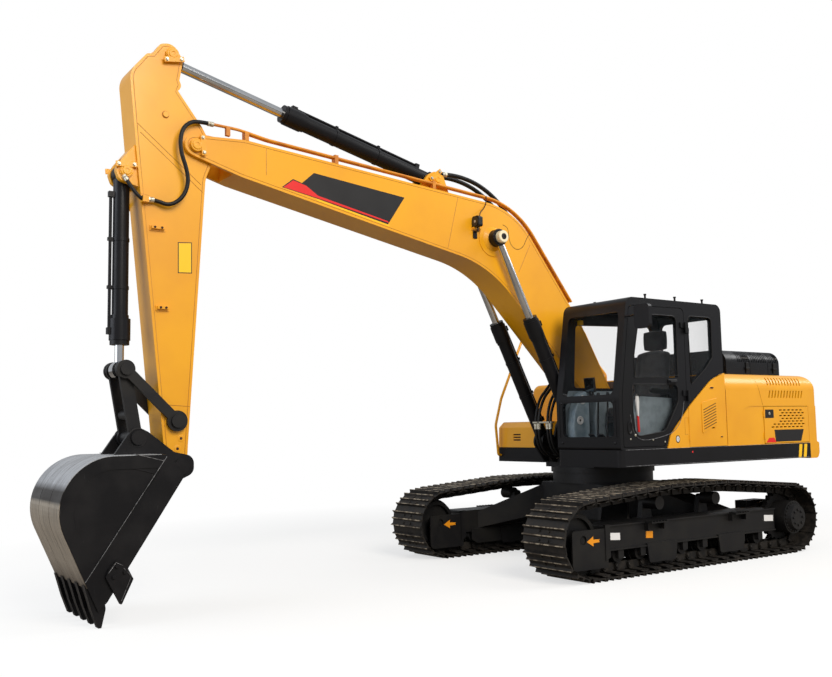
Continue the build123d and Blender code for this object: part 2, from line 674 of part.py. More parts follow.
with BuildPart() as exhaust:
    with BuildSketch(Plane.XY.offset(body_top)):
        with Locations((-1700, -1040)):
            Circle(60)
            Circle(52, mode=Mode.SUBTRACT)
    extrude(amount=260)
keep(exhaust, "exhaust")

# ---------------------------------------------------------------- fairing behind the cab
fairing_curve = [(395, deck_top, 0), (panel_front + door_play, deck_top, 0),
                 (panel_front + door_play, body_top - 4, 0), (-400, 2052, 500), (0, 1750, 600), (340, 1430, 0)]
fairing_seam = 30
front_hinge = fairing_seam - door_play / 2
front_knuckles = (deck_top + 70, 1560)

with BuildPart() as left_fairing:
    slab(fairing_curve, deck_half - panel, deck_half)
    block((-2000, fairing_seam), (deck_half - 100, deck_half + 100), (deck_top - 10, body_top + 50), Mode.SUBTRACT)
    for z in front_knuckles:
        upright(front_hinge, deck_half, knuckle_radius + knuckle_play, z - knuckle_play,
                knuckle_height + 2 * knuckle_play, Mode.SUBTRACT)
keep(left_fairing, "left_fairing")

with BuildPart() as left_front_door:
    slab(fairing_curve, deck_half - panel, deck_half)
    block((fairing_seam - door_play, 2000), (deck_half - 100, deck_half + 100), (deck_top - 10, body_top + 50),
          Mode.SUBTRACT)
    block((-2000, 2000), (deck_half - 100, deck_half + 100), (deck_top - 10, deck_top + door_play), Mode.SUBTRACT)
    slots(Plane.XZ.offset(-deck_half - 5), [(louvre_x, louvre_z + number * louvre_pitch) for number in range(louvre_count)],
          louvre_length, 13, 0, panel + 10)
    for z in front_knuckles:
        upright(front_hinge, deck_half, knuckle_radius, z, knuckle_height)
keep(left_front_door, "left_front_door")

# ---------------------------------------------------------------- tanks and tool box, right side
with BuildPart() as fuel_tank:
    outline([(-deck_half, deck_top, 0), (-deck_half, body_top - 30, 120), (tank_inner, body_top - 30, 60),
             (tank_inner, deck_top, 0)], Plane.YZ.offset(tank_rear / 2), tank_front - tank_rear / 2)
    fillet(fuel_tank.edges().group_by(Axis.X)[-1].group_by(Axis.Z)[-1], 60)
keep(fuel_tank, "fuel_tank")

with BuildPart() as hydraulic_tank:
    outline([(-deck_half, deck_top, 0), (-deck_half, body_top - 30, 120), (tank_inner, body_top - 30, 60),
             (tank_inner, deck_top, 0)], Plane.YZ.offset(tank_rear), tank_rear / 2 - tank_rear - 6)
keep(hydraulic_tank, "hydraulic_tank")

with BuildPart() as tool_box:
    slab([(tank_front + 6, deck_top, 0), (box_deck_front - 10, deck_top, 0), (box_deck_front - 20, 1540, 20),
          (box_deck_front - 100, box_top, 40), (tank_front + 6, box_top, 0)], 25 - deck_half, tank_inner - 40)
    for number in range(3):
        block((box_deck_front - 60, box_deck_front), (310 - deck_half, 450 - deck_half),
              (1372 + number * 34, 1390 + number * 34), Mode.SUBTRACT)
keep(tool_box, "tool_box")

# ---------------------------------------------------------------- cab
# side view of the cab, rows of x, z, corner radius
cab_profile = [(cab_rear, cab_floor, 0), (cab_deck_front, cab_floor, 30), (cab_deck_front + 4, 1835, 150),
               (972, cab_roof, 110), (cab_rear + 10, cab_roof, 90)]
pocket_edge = [(cab_rear - 60, body_top + 12, 0), (panel_front + 10, body_top + 8, 0), (-400, 2065, 500),
               (6, 1762, 600), (360, 1430, 0)]
pocket_wall = [(420, cab_floor, 0), (cab_rear - 60, cab_floor, 0)] + pocket_edge
pocket_room = [(420, cab_floor - 20, 0), (cab_rear - 60, cab_floor - 20, 0)] + pocket_edge
side_windows = [
    # x and z corners with radius, y side
    ("door_upper", [(180, 2062, 20), (905, 2046, 20), (880, 2300, 60), (775, 2745, 60), (180, 2745, 60)]),
    ("door_lower", [(420, 1475, 90), (900, 1420, 90), (930, 1700, 60), (925, 1985, 30), (190, 1985, 60),
                    (190, 1800, 60)]),
]
rear_pane = [(-25, 1975, 20), (-300, 2170, 60), (-430, 2300, 60), (-430, 2760, 50), (-20, 2760, 50)]
right_pane = [(900, 1980, 40), (850, 2700, 60), (-460, 2740, 60), (-460, 1980, 40)]
door_front, door_rear = 1083, 52
door_outline = [(door_front, cab_floor + 31, 20), (door_front + 2, 1835, 150), (936, 2822, 60), (door_rear, 2836, 60),
                (door_rear, 1730, 60), (392, 1418, 80), (450, cab_floor + 31, 20)]
door_way = [(door_front + 6, cab_floor + 25, 20), (door_front + 8, 1835, 150), (941, 2828, 60),
            (door_rear - 6, 2842, 60), (door_rear - 6, 1727, 60), (386, 1415, 80), (444, cab_floor + 25, 20)]
cab_hinge_x = door_rear - door_play / 2
cab_hinges = (1800, 2560)


def cab_solid(inset, mode=Mode.ADD):
    """The cab's closed outer form, taken in by inset all round."""
    with BuildSketch(side(cab_left - inset)) as face:
        with BuildLine():
            FilletPolyline([(x, z) for x, z, _ in cab_profile], radius=[r for _, _, r in cab_profile], close=True)
        make_face()
        if inset:
            offset(amount=-inset, kind=Kind.INTERSECTION)
    extrude(face.sketch, amount=cab_left - cab_right - 2 * inset, mode=mode)


front_panes = ((cab_right + 90, cab_left - 90, 1875, 2765), (cab_right + 90, cab_left - 90, 1425, 1800))
rear_window = (cab_right + 80, cab_left - 80, 2050, 2760)
roof_hatch = (-250, 500, cab_right + 180, cab_left - 175)


def cab_openings(mode):
    """Window holes of the fixed shell, also the prisms that its panes are cut from."""
    for y_low, y_high, z_low, z_high in front_panes:
        with BuildSketch(Plane.YZ.offset(800)) as pane:
            with Locations(((y_low + y_high) / 2, (z_low + z_high) / 2)):
                RectangleRounded(y_high - y_low, z_high - z_low, 55)
        extrude(pane.sketch, amount=500, mode=mode)
    y_low, y_high, z_low, z_high = rear_window
    with BuildSketch(Plane.YZ.offset(cab_rear - 60)) as pane:
        with Locations(((y_low + y_high) / 2, (z_low + z_high) / 2)):
            RectangleRounded(y_high - y_low, z_high - z_low, 60)
    extrude(pane.sketch, amount=160, mode=mode)
    slab(right_pane, cab_right - 60, cab_right + 100, mode)
    slab(rear_pane, cab_left - 100, cab_left + 60, mode)
    x_low, x_high, y_low, y_high = roof_hatch
    with BuildSketch(Plane.XY.offset(cab_roof - 100)) as pane:
        with Locations(((x_low + x_high) / 2, (y_low + y_high) / 2)):
            RectangleRounded(x_high - x_low, y_high - y_low, 60)
    extrude(pane.sketch, amount=200, mode=mode)


with BuildPart() as cab_shell:
    cab_solid(0)
    cab_solid(cab_wall, Mode.SUBTRACT)
    slab(pocket_wall, cab_left - 100 - cab_wall, cab_left - 100)
    slab(pocket_room, cab_left - 100, cab_left + 60, Mode.SUBTRACT)
    block((-3000, cab_rear), (0, 3000), (0, 4000), Mode.SUBTRACT)
    slab(door_way, cab_left - 100, cab_left + 60, Mode.SUBTRACT)
    cab_openings(Mode.SUBTRACT)
    for z in cab_hinges:
        block((cab_hinge_x - 70, cab_hinge_x), (cab_left, cab_left + 14), (z, z + 60))
        upright(cab_hinge_x, cab_left + door_hinge_out, 13, z, 60)
        block((cab_hinge_x - 13, cab_hinge_x), (cab_left, cab_left + door_hinge_out), (z, z + 60))
keep(cab_shell, "cab_shell")

with BuildPart() as glass_skin:
    cab_solid(glass_depth)
    cab_solid(glass_depth + glass_thickness, Mode.SUBTRACT)

with BuildPart() as cab_glass:
    cab_openings(Mode.ADD)
    add(glass_skin.part, mode=Mode.INTERSECT)
keep(cab_glass, "cab_glass")

with BuildPart() as cab_door:
    slab(door_outline, cab_left - cab_wall + 5, cab_left)
    for _, corners in side_windows:
        slab(corners, cab_left - 100, cab_left + 60, Mode.SUBTRACT)
    for z in cab_hinges:
        low = z + 60 + knuckle_play
        block((cab_hinge_x, cab_hinge_x + 70), (cab_left, cab_left + 14), (low, low + 60))
        upright(cab_hinge_x, cab_left + door_hinge_out, 13, low, 60)
        block((cab_hinge_x + 3, cab_hinge_x + 13), (cab_left, cab_left + door_hinge_out), (low, low + 60))
keep(cab_door, "cab_door")

with BuildPart() as door_glass:
    for _, corners in side_windows:
        slab(corners, cab_left - glass_depth - glass_thickness, cab_left - glass_depth)
keep(door_glass, "door_glass")

seat_y = cab_left - 460
with BuildPart() as operator_seat:
    block((100, 620), (seat_y - 235, seat_y + 235), (cab_floor + cab_wall, cab_floor + 330))
    block((60, 640), (seat_y - 255, seat_y + 255), (cab_floor + 330, cab_floor + 470))
    slab([(60, cab_floor + 430, 0), (200, cab_floor + 430, 0), (60, 2450, 60), (-70, 2450, 60)],
         seat_y - 245, seat_y + 245)
    slab([(-60, 2430, 0), (60, 2430, 0), (45, 2650, 50), (-60, 2650, 50)], seat_y - 125, seat_y + 125)
keep(operator_seat, "operator_seat")

with BuildPart() as consoles:
    for y_low, y_high in ((cab_right + 60, cab_right + 200), (cab_left - 197, cab_left - 157)):
        block((80, 760), (y_low, y_high), (cab_floor + cab_wall, cab_floor + 560))
        middle = (y_low + y_high) / 2
        crosswise(700, cab_floor + 740, 34, middle - 30, middle + 30)
        block((680, 720), (middle - 20, middle + 20), (cab_floor + 560, cab_floor + 720))
    for y in (seat_y - 75, seat_y + 65):
        block((900, 930), (y - 15, y + 15), (cab_floor + cab_wall, cab_floor + 620))
keep(consoles, "consoles")

# ---------------------------------------------------------------- handrails and mirror
rail_radius = 17
rail_y = 70 - deck_half
right_rail = [(box_deck_front, rail_y, 1187), (570, rail_y, 1187), (604, rail_y, 1578), (500, rail_y, 1920),
              (60, rail_y, 2800), (-90, rail_y, 2915), (-1040, rail_y, 2915), (-1345, rail_y, 2400),
              (-1345, rail_y + 125, 2260), (-1345, rail_y + 125, body_top)]
with BuildPart() as handrails:
    tube(right_rail, [30, 150, 150, 200, 150, 150, 60, 60], rail_radius)
keep(handrails, "handrails")

mirror_arm_z = 2700
with BuildPart() as mirror:
    tube([(988, cab_left, mirror_arm_z), (988, cab_left + 70, mirror_arm_z), (1040, cab_left + 205, mirror_arm_z)],
         40, 12)
    outline([(cab_left + 189, 2545, 40), (cab_left + 389, 2545, 40), (cab_left + 389, 2795, 40),
             (cab_left + 189, 2795, 40)], Plane.YZ.offset(1026), 50)
keep(mirror, "mirror")

# ================================================================ boom
# side view, rows of x, z, corner radius, from the foot along the underside to the tip and back over the top
boom_profile = (moved(foot_x, foot_z, [(-150, -20, 140), (60, -158, 100), (522, 286, 300)])
                + moved(rise_x, rise_z, [(50, -308, 1420)])
                + moved(tip_x, tip_z, [(-452, -230, 200), (2, -101, 60), (112, -57, 90), (97, 58, 80), (42, 95, 40),
                                       (-488, 131, 300)])
                + moved(rise_x, rise_z, [(-335, 380, 930)]) + moved(foot_x, foot_z, [(340, 900, 500), (-120, 130, 140)]))

with BuildPart() as boom:
    slab(boom_profile, -boom_half, boom_half)
    slab(moved(tip_x, tip_z, [(-fork_depth, -467, 0), (372, -467, 0), (372, 333, 0), (-fork_depth, 333, 0)]),
         -fork_half, fork_half, Mode.SUBTRACT)
    for face in (1, -1):
        with BuildSketch(side(face * boom_half)):
            with Locations((rise_x, rise_z)):
                Circle(boss_radius)
        with BuildSketch(side(face * boss_reach)):
            with Locations((rise_x, rise_z)):
                Circle(boom_eye_radius)
        loft()
        crosswise(rise_x, rise_z, boss_radius + 45, *beside(boom_half - 5, boom_half + 8, face))
        crosswise(tip_x, tip_z, 66, *beside(boom_half, boom_half + 14, face))
        crosswise(foot_x, foot_z, foot_pin_radius + 45, *beside(boom_half - 5, boom_half + 3, face))
        slab(moved(crowd_x, crowd_z, [(-190, -235, 0), (330, -225, 0), (120, 40, 60), (40, 85, 60), (-80, 50, 60)]),
             *beside(crowd_ear_inner, crowd_ear_outer, face))
    # manifold where the arm cylinder's hoses end on the boom's back
    slab(moved(crowd_x, crowd_z, [(-1148.6, -448.4, 0), (-1210.7, -383.3, 8), (-1268.6, -438.5, 8), (-1206.5, -503.6, 0)]),
         -95, 95)
    crosswise(crowd_x, crowd_z, pin_radius, -crowd_ear_outer, crowd_ear_outer)
    crosswise(tip_x, tip_z, pin_radius, -boom_half - 22, boom_half + 22)
    bore(foot_x, foot_z, foot_pin_radius)
keep(boom, "boom")

with BuildPart() as work_lamp:
    block((lamp_x - 26, lamp_x + 26), (boom_half, boom_half + 12), (lamp_z - 175, lamp_z - 95))
    block((lamp_x - 12, lamp_x + 12), (boom_half + 4, boom_half + 76), (lamp_z - 110, lamp_z - 98))
    upright(lamp_x, boom_half + 60, 9, lamp_z - 104, 60)
    with BuildSketch(Plane.YZ.offset(lamp_x - 28)) as housing:
        with Locations((boom_half + 60, lamp_z)):
            RectangleRounded(104, 112, 22)
    with BuildSketch(Plane.YZ.offset(lamp_x + 34)) as glass_edge:
        with Locations((boom_half + 60, lamp_z)):
            RectangleRounded(116, 124, 22)
    loft([housing.sketch, glass_edge.sketch])
keep(work_lamp, "work_lamp")

pipe_rise = 62                       # pipes' middle above the boom's top plate
pipe_spots = (184, 150)
pipe_end_x, pipe_end_z = tip_x - 155, tip_z + 231
inner_pipe_end = 508                 # inner pipes stop this far behind the arm pivot, clear of the arm
# clamps on the boom's top: x, inner and outer side
clamp_spots = ((tip_x - 318, arm_half + 8, 202), (tip_x - inner_pipe_end, 132, 202), (3840, 132, 202), (2625, 132, 202))
top_near, top_bend, top_foot = boom_profile[9], boom_profile[10], boom_profile[11]


def over_top(x, rise):
    """Height at x of a line this far above the boom's straight top plate."""
    slope = (top_near[1] - top_bend[1]) / (top_near[0] - top_bend[0])
    return top_bend[1] + (x - top_bend[0]) * slope + rise * math.hypot(1, slope)


def down_back(x, rise):
    """The same above the plate that runs down to the foot."""
    slope = (top_bend[1] - top_foot[1]) / (top_bend[0] - top_foot[0])
    return top_bend[1] + (x - top_bend[0]) * slope + rise * math.hypot(1, slope)


upper_slope = (top_near[1] - top_bend[1]) / (top_near[0] - top_bend[0])
back_slope = (top_bend[1] - top_foot[1]) / (top_bend[0] - top_foot[0])
bend_x = top_bend[0] + pipe_rise * (math.hypot(1, upper_slope) - math.hypot(1, back_slope)) / (back_slope - upper_slope)

with BuildPart() as boom_pipes:
    long_end = [(pipe_end_x, pipe_end_z), (tip_x - 428, over_top(tip_x - 428, pipe_rise + 25))]
    short_end = [(tip_x - inner_pipe_end, over_top(tip_x - inner_pipe_end, pipe_rise + 18))]
    back = [(tip_x - 728, over_top(tip_x - 728, pipe_rise)), (bend_x, over_top(bend_x, pipe_rise)),
            (620, down_back(620, pipe_rise))]
    for face in (1, -1):
        for y, ends in zip(pipe_spots, (long_end, short_end)):
            tube([(x, face * y, z) for x, z in ends + back],
                 [900] * (len(ends) - 1) + [900, top_bend[2] + pipe_rise - 2], pipe_radius)
        for x, inner, outer in clamp_spots:
            slab([(x - 20, over_top(x - 20, 0), 0), (x + 20, over_top(x + 20, 0), 0),
                  (x + 20, over_top(x + 20, pipe_rise + 26), 0), (x - 20, over_top(x - 20, pipe_rise + 26), 0)],
                 *beside(inner, outer, face))
keep(boom_pipes, "boom_pipes")

# ================================================================ arm
arm_profile = (moved(crown_x, crown_z, [(197, 8, 60), (385, -232, 190)]) + moved(tip_x, tip_z, [(535, -120, 700)])
               + moved(bucket_x, bucket_z, [(143, 190, 300), (130, -50, 105), (-65, -125, 80), (-80, 185, 300)])
               + moved(tip_x, tip_z, [(-110, -290, 300), (-208, -37, 190), (-78, 193, 100)]))
crown_profile = (moved(tip_x, tip_z, [(-78, 163, 60), (142, 593, 0)])
                 + moved(crown_x, crown_z, [(-108, -30, 100), (-13, 110, 100), (107, 80, 60), (217, -90, 0)]))
crown_slot = (moved(tip_x, tip_z, [(-28, 333, 0), (92, 313, 0)])
              + moved(crown_x, crown_z, [(-7, -351, 0), (202, -63, 0), (147, 40, 0), (147, 260, 0), (-243, 260, 0)]))

with BuildPart() as arm:
    slab(arm_profile, -arm_half, arm_half)
    slab(crown_profile, -arm_half, arm_half)
    slab(moved(curl_x, curl_z, [(-110, 290, 0), (40, 100, 90), (95, 10, 60), (60, -85, 60), (-160, -140, 0)]),
         -lug_half, lug_half)
    slab(crown_slot, -62, 62, Mode.SUBTRACT)
    slab(moved(curl_x, curl_z, [(-79, 125, 0), (-107, -160, 0), (155, -160, 0), (155, 125, 0)]),
         -lug_slot, lug_slot, Mode.SUBTRACT)
    crosswise(curl_x, curl_z, pin_radius, -lug_half - 20, lug_half + 20)
    for face in (1, -1):
        crosswise(crown_x, crown_z, 62, *beside(arm_half, arm_half + 26, face))
        crosswise(curl_x, curl_z, 62, *beside(lug_half, lug_half + 14, face))
        block((tip_x + fitting_x, tip_x + fitting_x + 55), beside(arm_half - 2, arm_half + 62, face),
              (tip_z - 583, tip_z - 527))
        for x, z, radius, height in arm_bosses:
            crosswise(tip_x + x, tip_z + z, radius, *beside(arm_half, arm_half + height, face))
    bore(tip_x, tip_z, pin_radius)
    bore(rocker_x, rocker_z, pin_radius)
    bore(bucket_x, bucket_z, pin_radius)
keep(arm, "arm")


# ================================================================ cylinders
def aim(base, eye):
    """Plane at the base pin whose normal points along the cylinder."""
    return Plane(origin=(base[0], base[1], base[2]), x_dir=(0, 1, 0),
                 z_dir=(eye[0] - base[0], eye[1] - base[1], eye[2] - base[2]))


def barrel(sizes, base, eye):
    tube_radius, gland, rod_radius, length, _, eye_radius, width, _, start = sizes
    axis = aim(base, eye)
    with BuildSketch(axis.offset(start)) as body:
        Circle(tube_radius)
    extrude(body.sketch, amount=length - start - 20)
    for below, radius, reach in ((230, gland, 190), (40, gland - 8, 40), (262, tube_radius + 7, 40)):
        with BuildSketch(axis.offset(length - below)) as head:
            Circle(radius)
        extrude(head.sketch, amount=reach)
    # supply pipe along the tube, in a block at each end and two clamp bands
    pipe_out = tube_radius + 24
    with BuildSketch(axis.offset(start + 130)) as pipe:
        with Locations((0, pipe_out)):
            Circle(pipe_radius)
    extrude(pipe.sketch, amount=length - start - 230)
    for low, reach, half in ((start + 110, 50, 22), (length - 150, 60, 24)):
        with BuildSketch(axis.offset(low)) as port:
            with Locations((0, pipe_out / 2 + 10)):
                Rectangle(2 * half, pipe_out + 20)
        extrude(port.sketch, amount=reach)
    for share in (0.38, 0.66):
        with BuildSketch(axis.offset(length * share)) as band:
            Circle(tube_radius + 5)
            with Locations((0, tube_radius + 20)):
                Rectangle(34, 50)
        extrude(band.sketch, amount=pipe_clamp)
    crosswise(base[0], base[2], eye_radius, base[1] - width / 2, base[1] + width / 2)
    with BuildSketch(axis) as neck:
        Rectangle(width, 1.7 * tube_radius)
    extrude(neck.sketch, amount=start + 5)
    with BuildSketch(axis.offset(start + 40)) as hollow:
        Circle(rod_radius + bore_play)
    extrude(hollow.sketch, amount=length, mode=Mode.SUBTRACT)
    crosswise(base[0], base[2], pin_radius + pin_play, base[1] - width, base[1] + width, Mode.SUBTRACT)


def rod(sizes, base, eye):
    _, _, rod_radius, _, length, eye_radius, _, width, _ = sizes
    back = aim(eye, base)
    with BuildSketch(back) as section:
        Circle(rod_radius)
    extrude(section.sketch, amount=length)
    crosswise(eye[0], eye[2], eye_radius, eye[1] - width / 2, eye[1] + width / 2)


with BuildPart() as boom_barrels:
    for y in (rod_plane, -rod_plane):
        barrel(boom_cylinder, (lift_x, y, lift_z), (rise_x, y, rise_z))
keep(boom_barrels, "boom_cylinder_barrels")

with BuildPart() as boom_rods:
    for y in (rod_plane, -rod_plane):
        rod(boom_cylinder, (lift_x, y, lift_z), (rise_x, y, rise_z))
        face = 1 if y > 0 else -1
        edge = abs(y) + boom_eye_width / 2
        crosswise(rise_x, rise_z, 55, *sorted((face * edge, face * (edge + 60))))
keep(boom_rods, "boom_cylinder_rods")

with BuildPart() as arm_barrel:
    barrel(arm_cylinder, (crowd_x, 0, crowd_z), (crown_x, 0, crown_z))
keep(arm_barrel, "arm_cylinder_barrel")

with BuildPart() as arm_rod:
    rod(arm_cylinder, (crowd_x, 0, crowd_z), (crown_x, 0, crown_z))
keep(arm_rod, "arm_cylinder_rod")

with BuildPart() as bucket_barrel:
    barrel(bucket_cylinder, (curl_x, 0, curl_z), (knee_x, 0, knee_z))
keep(bucket_barrel, "bucket_cylinder_barrel")

with BuildPart() as bucket_rod:
    rod(bucket_cylinder, (curl_x, 0, curl_z), (knee_x, 0, knee_z))
keep(bucket_rod, "bucket_cylinder_rod")


# ================================================================ linkage
def strap(x1, z1, r1, x2, z2, r2, y_low, y_high, waist):
    """A link plate: two round ends joined by a straight waist."""
    length = math.hypot(x2 - x1, z2 - z1)
    side_x, side_z = -(z2 - z1) / length * waist / 2, (x2 - x1) / length * waist / 2
    slab([(x1 + side_x, z1 + side_z, 0), (x2 + side_x, z2 + side_z, 0), (x2 - side_x, z2 - side_z, 0),
          (x1 - side_x, z1 - side_z, 0)], y_low, y_high)
    crosswise(x1, z1, r1, y_low, y_high)
    crosswise(x2, z2, r2, y_low, y_high)


with BuildPart() as rocker:
    for face in (1, -1):
        low, high = sorted((face * rocker_inner, face * rocker_outer))
        strap(rocker_x, rocker_z, 92, knee_x, knee_z, 80, low, high, 90)
        for x, z, radius in ((rocker_x, rocker_z, 60), (knee_x, knee_z, 52)):
            crosswise(x, z, radius, *beside(rocker_outer, rocker_outer + cap_height, face))
    crosswise(rocker_x, rocker_z, pin_radius, -rocker_outer, rocker_outer)
keep(rocker, "rocker")

with BuildPart() as bucket_link:
    for face in (1, -1):
        low, high = sorted((face * link_inner, face * link_outer))
        strap(knee_x, knee_z, 76, ear_x, ear_z, 78, low, high, 110)
        crosswise(knee_x, knee_z, 58, *beside(60, link_inner + 2, face))
    mid_x, mid_z = (knee_x + 2 * ear_x) / 3, (knee_z + 2 * ear_z) / 3
    crosswise(mid_x, mid_z, 45, -link_inner, link_inner)
    crosswise(ear_x, ear_z, 62, -link_inner, link_inner)
    bore(ear_x, ear_z, pin_radius)
keep(bucket_link, "bucket_link")

# ================================================================ bucket
def shell_outline(inset, lip, lip_radius, mouth):
    """Side view of the shell from its top plate round the heel to the lip, taken in by inset; then the mouth's rows."""
    crest, low = bucket_z + 117 - inset, bucket_z + lip
    heel = bucket_x + 1339 - inset * (lip_lean + math.hypot(1, lip_lean))
    return [(heel, crest, 440 - inset), (heel - (crest - low) * lip_lean, low, lip_radius)] + moved(bucket_x, bucket_z, mouth)


bucket_outer = shell_outline(0, -1115, 0, [(725, -1050, 0), (75, -65, 60), (208, 117, 40)])
bucket_room = shell_outline(bucket_wall, -1200, 0, [(560, -1200, 0), (-230, -160, 0), (176, 87, 10)])
side_panel = shell_outline(rim_width, -768, 30, [(275, 9, 20)])
ear_outline = (moved(bucket_x, bucket_z, [(-120, -60, 80), (40, -130, 60), (295, 75, 0), (595, 112, 0)])
               + moved(ear_x, ear_z, [(90, 20, 60), (10, 100, 70), (-90, 50, 60)])
               + moved(bucket_x, bucket_z, [(60, 130, 60), (-120, 90, 80)]))
cutter_outline = moved(bucket_x, bucket_z, [(659, -718, 20), (583, -763, 20), (522, -880, 10), (622, -1085, 10),
                                            (672, -990, 0), (748, -846, 20), (722, -787, 20)])
# one tooth with its adapter, straddling the lip
tooth_outline = moved(bucket_x, bucket_z, [(905, -900, 0), (846, -1100, 40), (790, -1249, 5), (764, -1249, 5),
                                           (730, -1100, 90), (748, -1010, 0), (800, -940, 0)])

with BuildPart() as bucket:
    slab(bucket_outer, -bucket_half, bucket_half)
    slab(bucket_room, bucket_wall - bucket_half, bucket_half - bucket_wall, Mode.SUBTRACT)
    for face in (1, -1):
        slab(ear_outline, *beside(rocker_inner, rocker_outer, face))
        crosswise(ear_x, ear_z, 62, *beside(rocker_outer, rocker_outer + cap_height, face))
        crosswise(bucket_x, bucket_z, 70, *beside(rocker_outer, rocker_outer + cap_height, face))
    crosswise(bucket_x, bucket_z, pin_radius, -rocker_outer, rocker_outer)
    crosswise(ear_x, ear_z, pin_radius, -rocker_outer, rocker_outer)
    with BuildPart(mode=Mode.PRIVATE) as rims:
        slab(bucket_outer, -bucket_half - rim_thickness, bucket_half + rim_thickness)
        slab(side_panel, -bucket_half - 100, bucket_half + 100, Mode.SUBTRACT)
        block((0, 8000), (-bucket_half + 5, bucket_half - 5), (0, 3000), Mode.SUBTRACT)
    add(rims.part)
    for face in (1, -1):
        slab(cutter_outline, *beside(bucket_half + rim_thickness - 1, bucket_half + rim_thickness + cutter_thickness, face))
keep(bucket, "bucket")

with BuildPart() as bucket_teeth:
    pitch = 2 * (bucket_half - tooth_inset) / (tooth_count - 1)
    for number in range(tooth_count):
        y = tooth_inset - bucket_half + number * pitch
        slab(tooth_outline, y - tooth_width / 2, y + tooth_width / 2)
    add(bucket.part, mode=Mode.SUBTRACT)
keep(bucket_teeth, "bucket_teeth")

# ================================================================ hoses
hose_end_x, hose_end_z = boom_profile[1][0] + 450, boom_profile[1][1] + 432.5
with BuildPart() as foot_hoses:
    for number, y in enumerate(foot_hose_spots):
        swell = 14 * (number % 2)
        hose([(centre_front + 0.3, y, centre_bottom + 125), (centre_front + 110, y, centre_bottom + 124),
              (centre_front + 240, y, centre_bottom + 150), (centre_front + 325 + swell, y, centre_bottom + 230),
              (centre_front + 368 + swell, y, centre_bottom + 345), (centre_front + 378 + swell, y, centre_bottom + 480),
              (centre_front + 370 + swell, y, centre_bottom + 620), (centre_front + 335, y, centre_bottom + 750),
              (centre_front + 275, y, centre_bottom + 850), (hose_end_x + 135, y, hose_end_z - 140),
              (hose_end_x + 64, y, hose_end_z - 65), (hose_end_x + 0.5, y, hose_end_z - 0.5)], foot_hose_radius)
keep(foot_hoses, "foot_hoses")

with BuildPart() as boom_hoses:
    for y in (-62, 62):
        hose([(crowd_x + along, y, crowd_z + up) for along, up in
              [(-104, 86), (-200, 92), (-380, 66), (-590, 10), (-780, -88), (-950, -205), (-1080, -300), (-1189.6, -404.6)]], 24)
keep(boom_hoses, "boom_hoses")

with BuildPart() as bucket_hoses:
    for face in (1, -1):
        hose([(pipe_end_x + 0.8, face * pipe_spots[0], pipe_end_z)]
             + [(tip_x + along, face * out, tip_z + up) for along, out, up in
                [(-64, 186, 233), (50, 216, 212), (138, 238, 134), (168, 244, 14), (156, 244, -110), (108, 242, -235),
                 (86, 238, -350), (112, 232, -465), (185, 222, -556), (276, 206, -590), (360, 190, -555),
                 (fitting_x, 190, -555)]])
keep(bucket_hoses, "bucket_hoses")
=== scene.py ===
import bpy, bmesh, json, math
from mathutils import Matrix, Vector


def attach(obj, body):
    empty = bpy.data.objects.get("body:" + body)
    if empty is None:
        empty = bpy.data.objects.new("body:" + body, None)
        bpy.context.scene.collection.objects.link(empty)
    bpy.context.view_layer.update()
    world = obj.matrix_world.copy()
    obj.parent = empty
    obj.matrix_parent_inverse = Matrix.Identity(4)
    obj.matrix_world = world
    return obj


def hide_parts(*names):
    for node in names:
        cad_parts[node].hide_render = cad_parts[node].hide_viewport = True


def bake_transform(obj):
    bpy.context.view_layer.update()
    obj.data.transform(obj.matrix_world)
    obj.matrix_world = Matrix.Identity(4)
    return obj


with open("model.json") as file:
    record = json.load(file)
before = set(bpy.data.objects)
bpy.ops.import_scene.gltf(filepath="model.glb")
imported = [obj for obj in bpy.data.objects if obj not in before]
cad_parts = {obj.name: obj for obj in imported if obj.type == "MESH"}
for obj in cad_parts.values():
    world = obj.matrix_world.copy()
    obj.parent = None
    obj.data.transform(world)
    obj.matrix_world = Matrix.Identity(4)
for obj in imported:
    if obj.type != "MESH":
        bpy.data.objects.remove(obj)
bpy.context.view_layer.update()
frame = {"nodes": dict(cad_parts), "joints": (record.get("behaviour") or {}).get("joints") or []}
nodes = frame["nodes"]
pins = {joint["name"]: Vector(joint["pos_m"]) for joint in frame["joints"] if "pos_m" in joint}
bothSides = (1, -1)  # left and right of the machine's middle plane
print("frame loaded,", len(nodes), "nodes")

# camera, lamps and floor
view = dict(place=(8.543, 8.163, 1.557), yaw=235.277, pitch=4.657, roll=-1.032, lens=40.53,
            shiftX=0.0109, shiftY=0.0161)


def addCamera():
    yaw, pitch, roll = (math.radians(view[k]) for k in ("yaw", "pitch", "roll"))
    ahead = Vector((math.cos(pitch) * math.cos(yaw), math.cos(pitch) * math.sin(yaw), math.sin(pitch)))
    right = ahead.cross(Vector((0, 0, 1))).normalized()
    up = right.cross(ahead)
    turn = Matrix.Rotation(roll, 3, -ahead)
    right, up = turn @ right, turn @ up
    camera = bpy.data.objects.new("camera", bpy.data.cameras.new("camera"))
    bpy.context.scene.collection.objects.link(camera)
    camera.matrix_world = Matrix.Translation(view["place"]) @ Matrix((right, up, -ahead)).transposed().to_4x4()
    camera.data.lens, camera.data.sensor_width = view["lens"], 36
    camera.data.shift_x, camera.data.shift_y = view["shiftX"], view["shiftY"]
    camera.data.clip_end = 200
    bpy.context.scene.camera = camera


def colour(hexText, alpha=1.0):  # sRGB hex to linear
    parts = [int(hexText[i:i + 2], 16) / 255 for i in (1, 3, 5)]
    return tuple(p / 12.92 if p <= 0.04045 else ((p + 0.055) / 1.055) ** 2.4 for p in parts) + (alpha,)


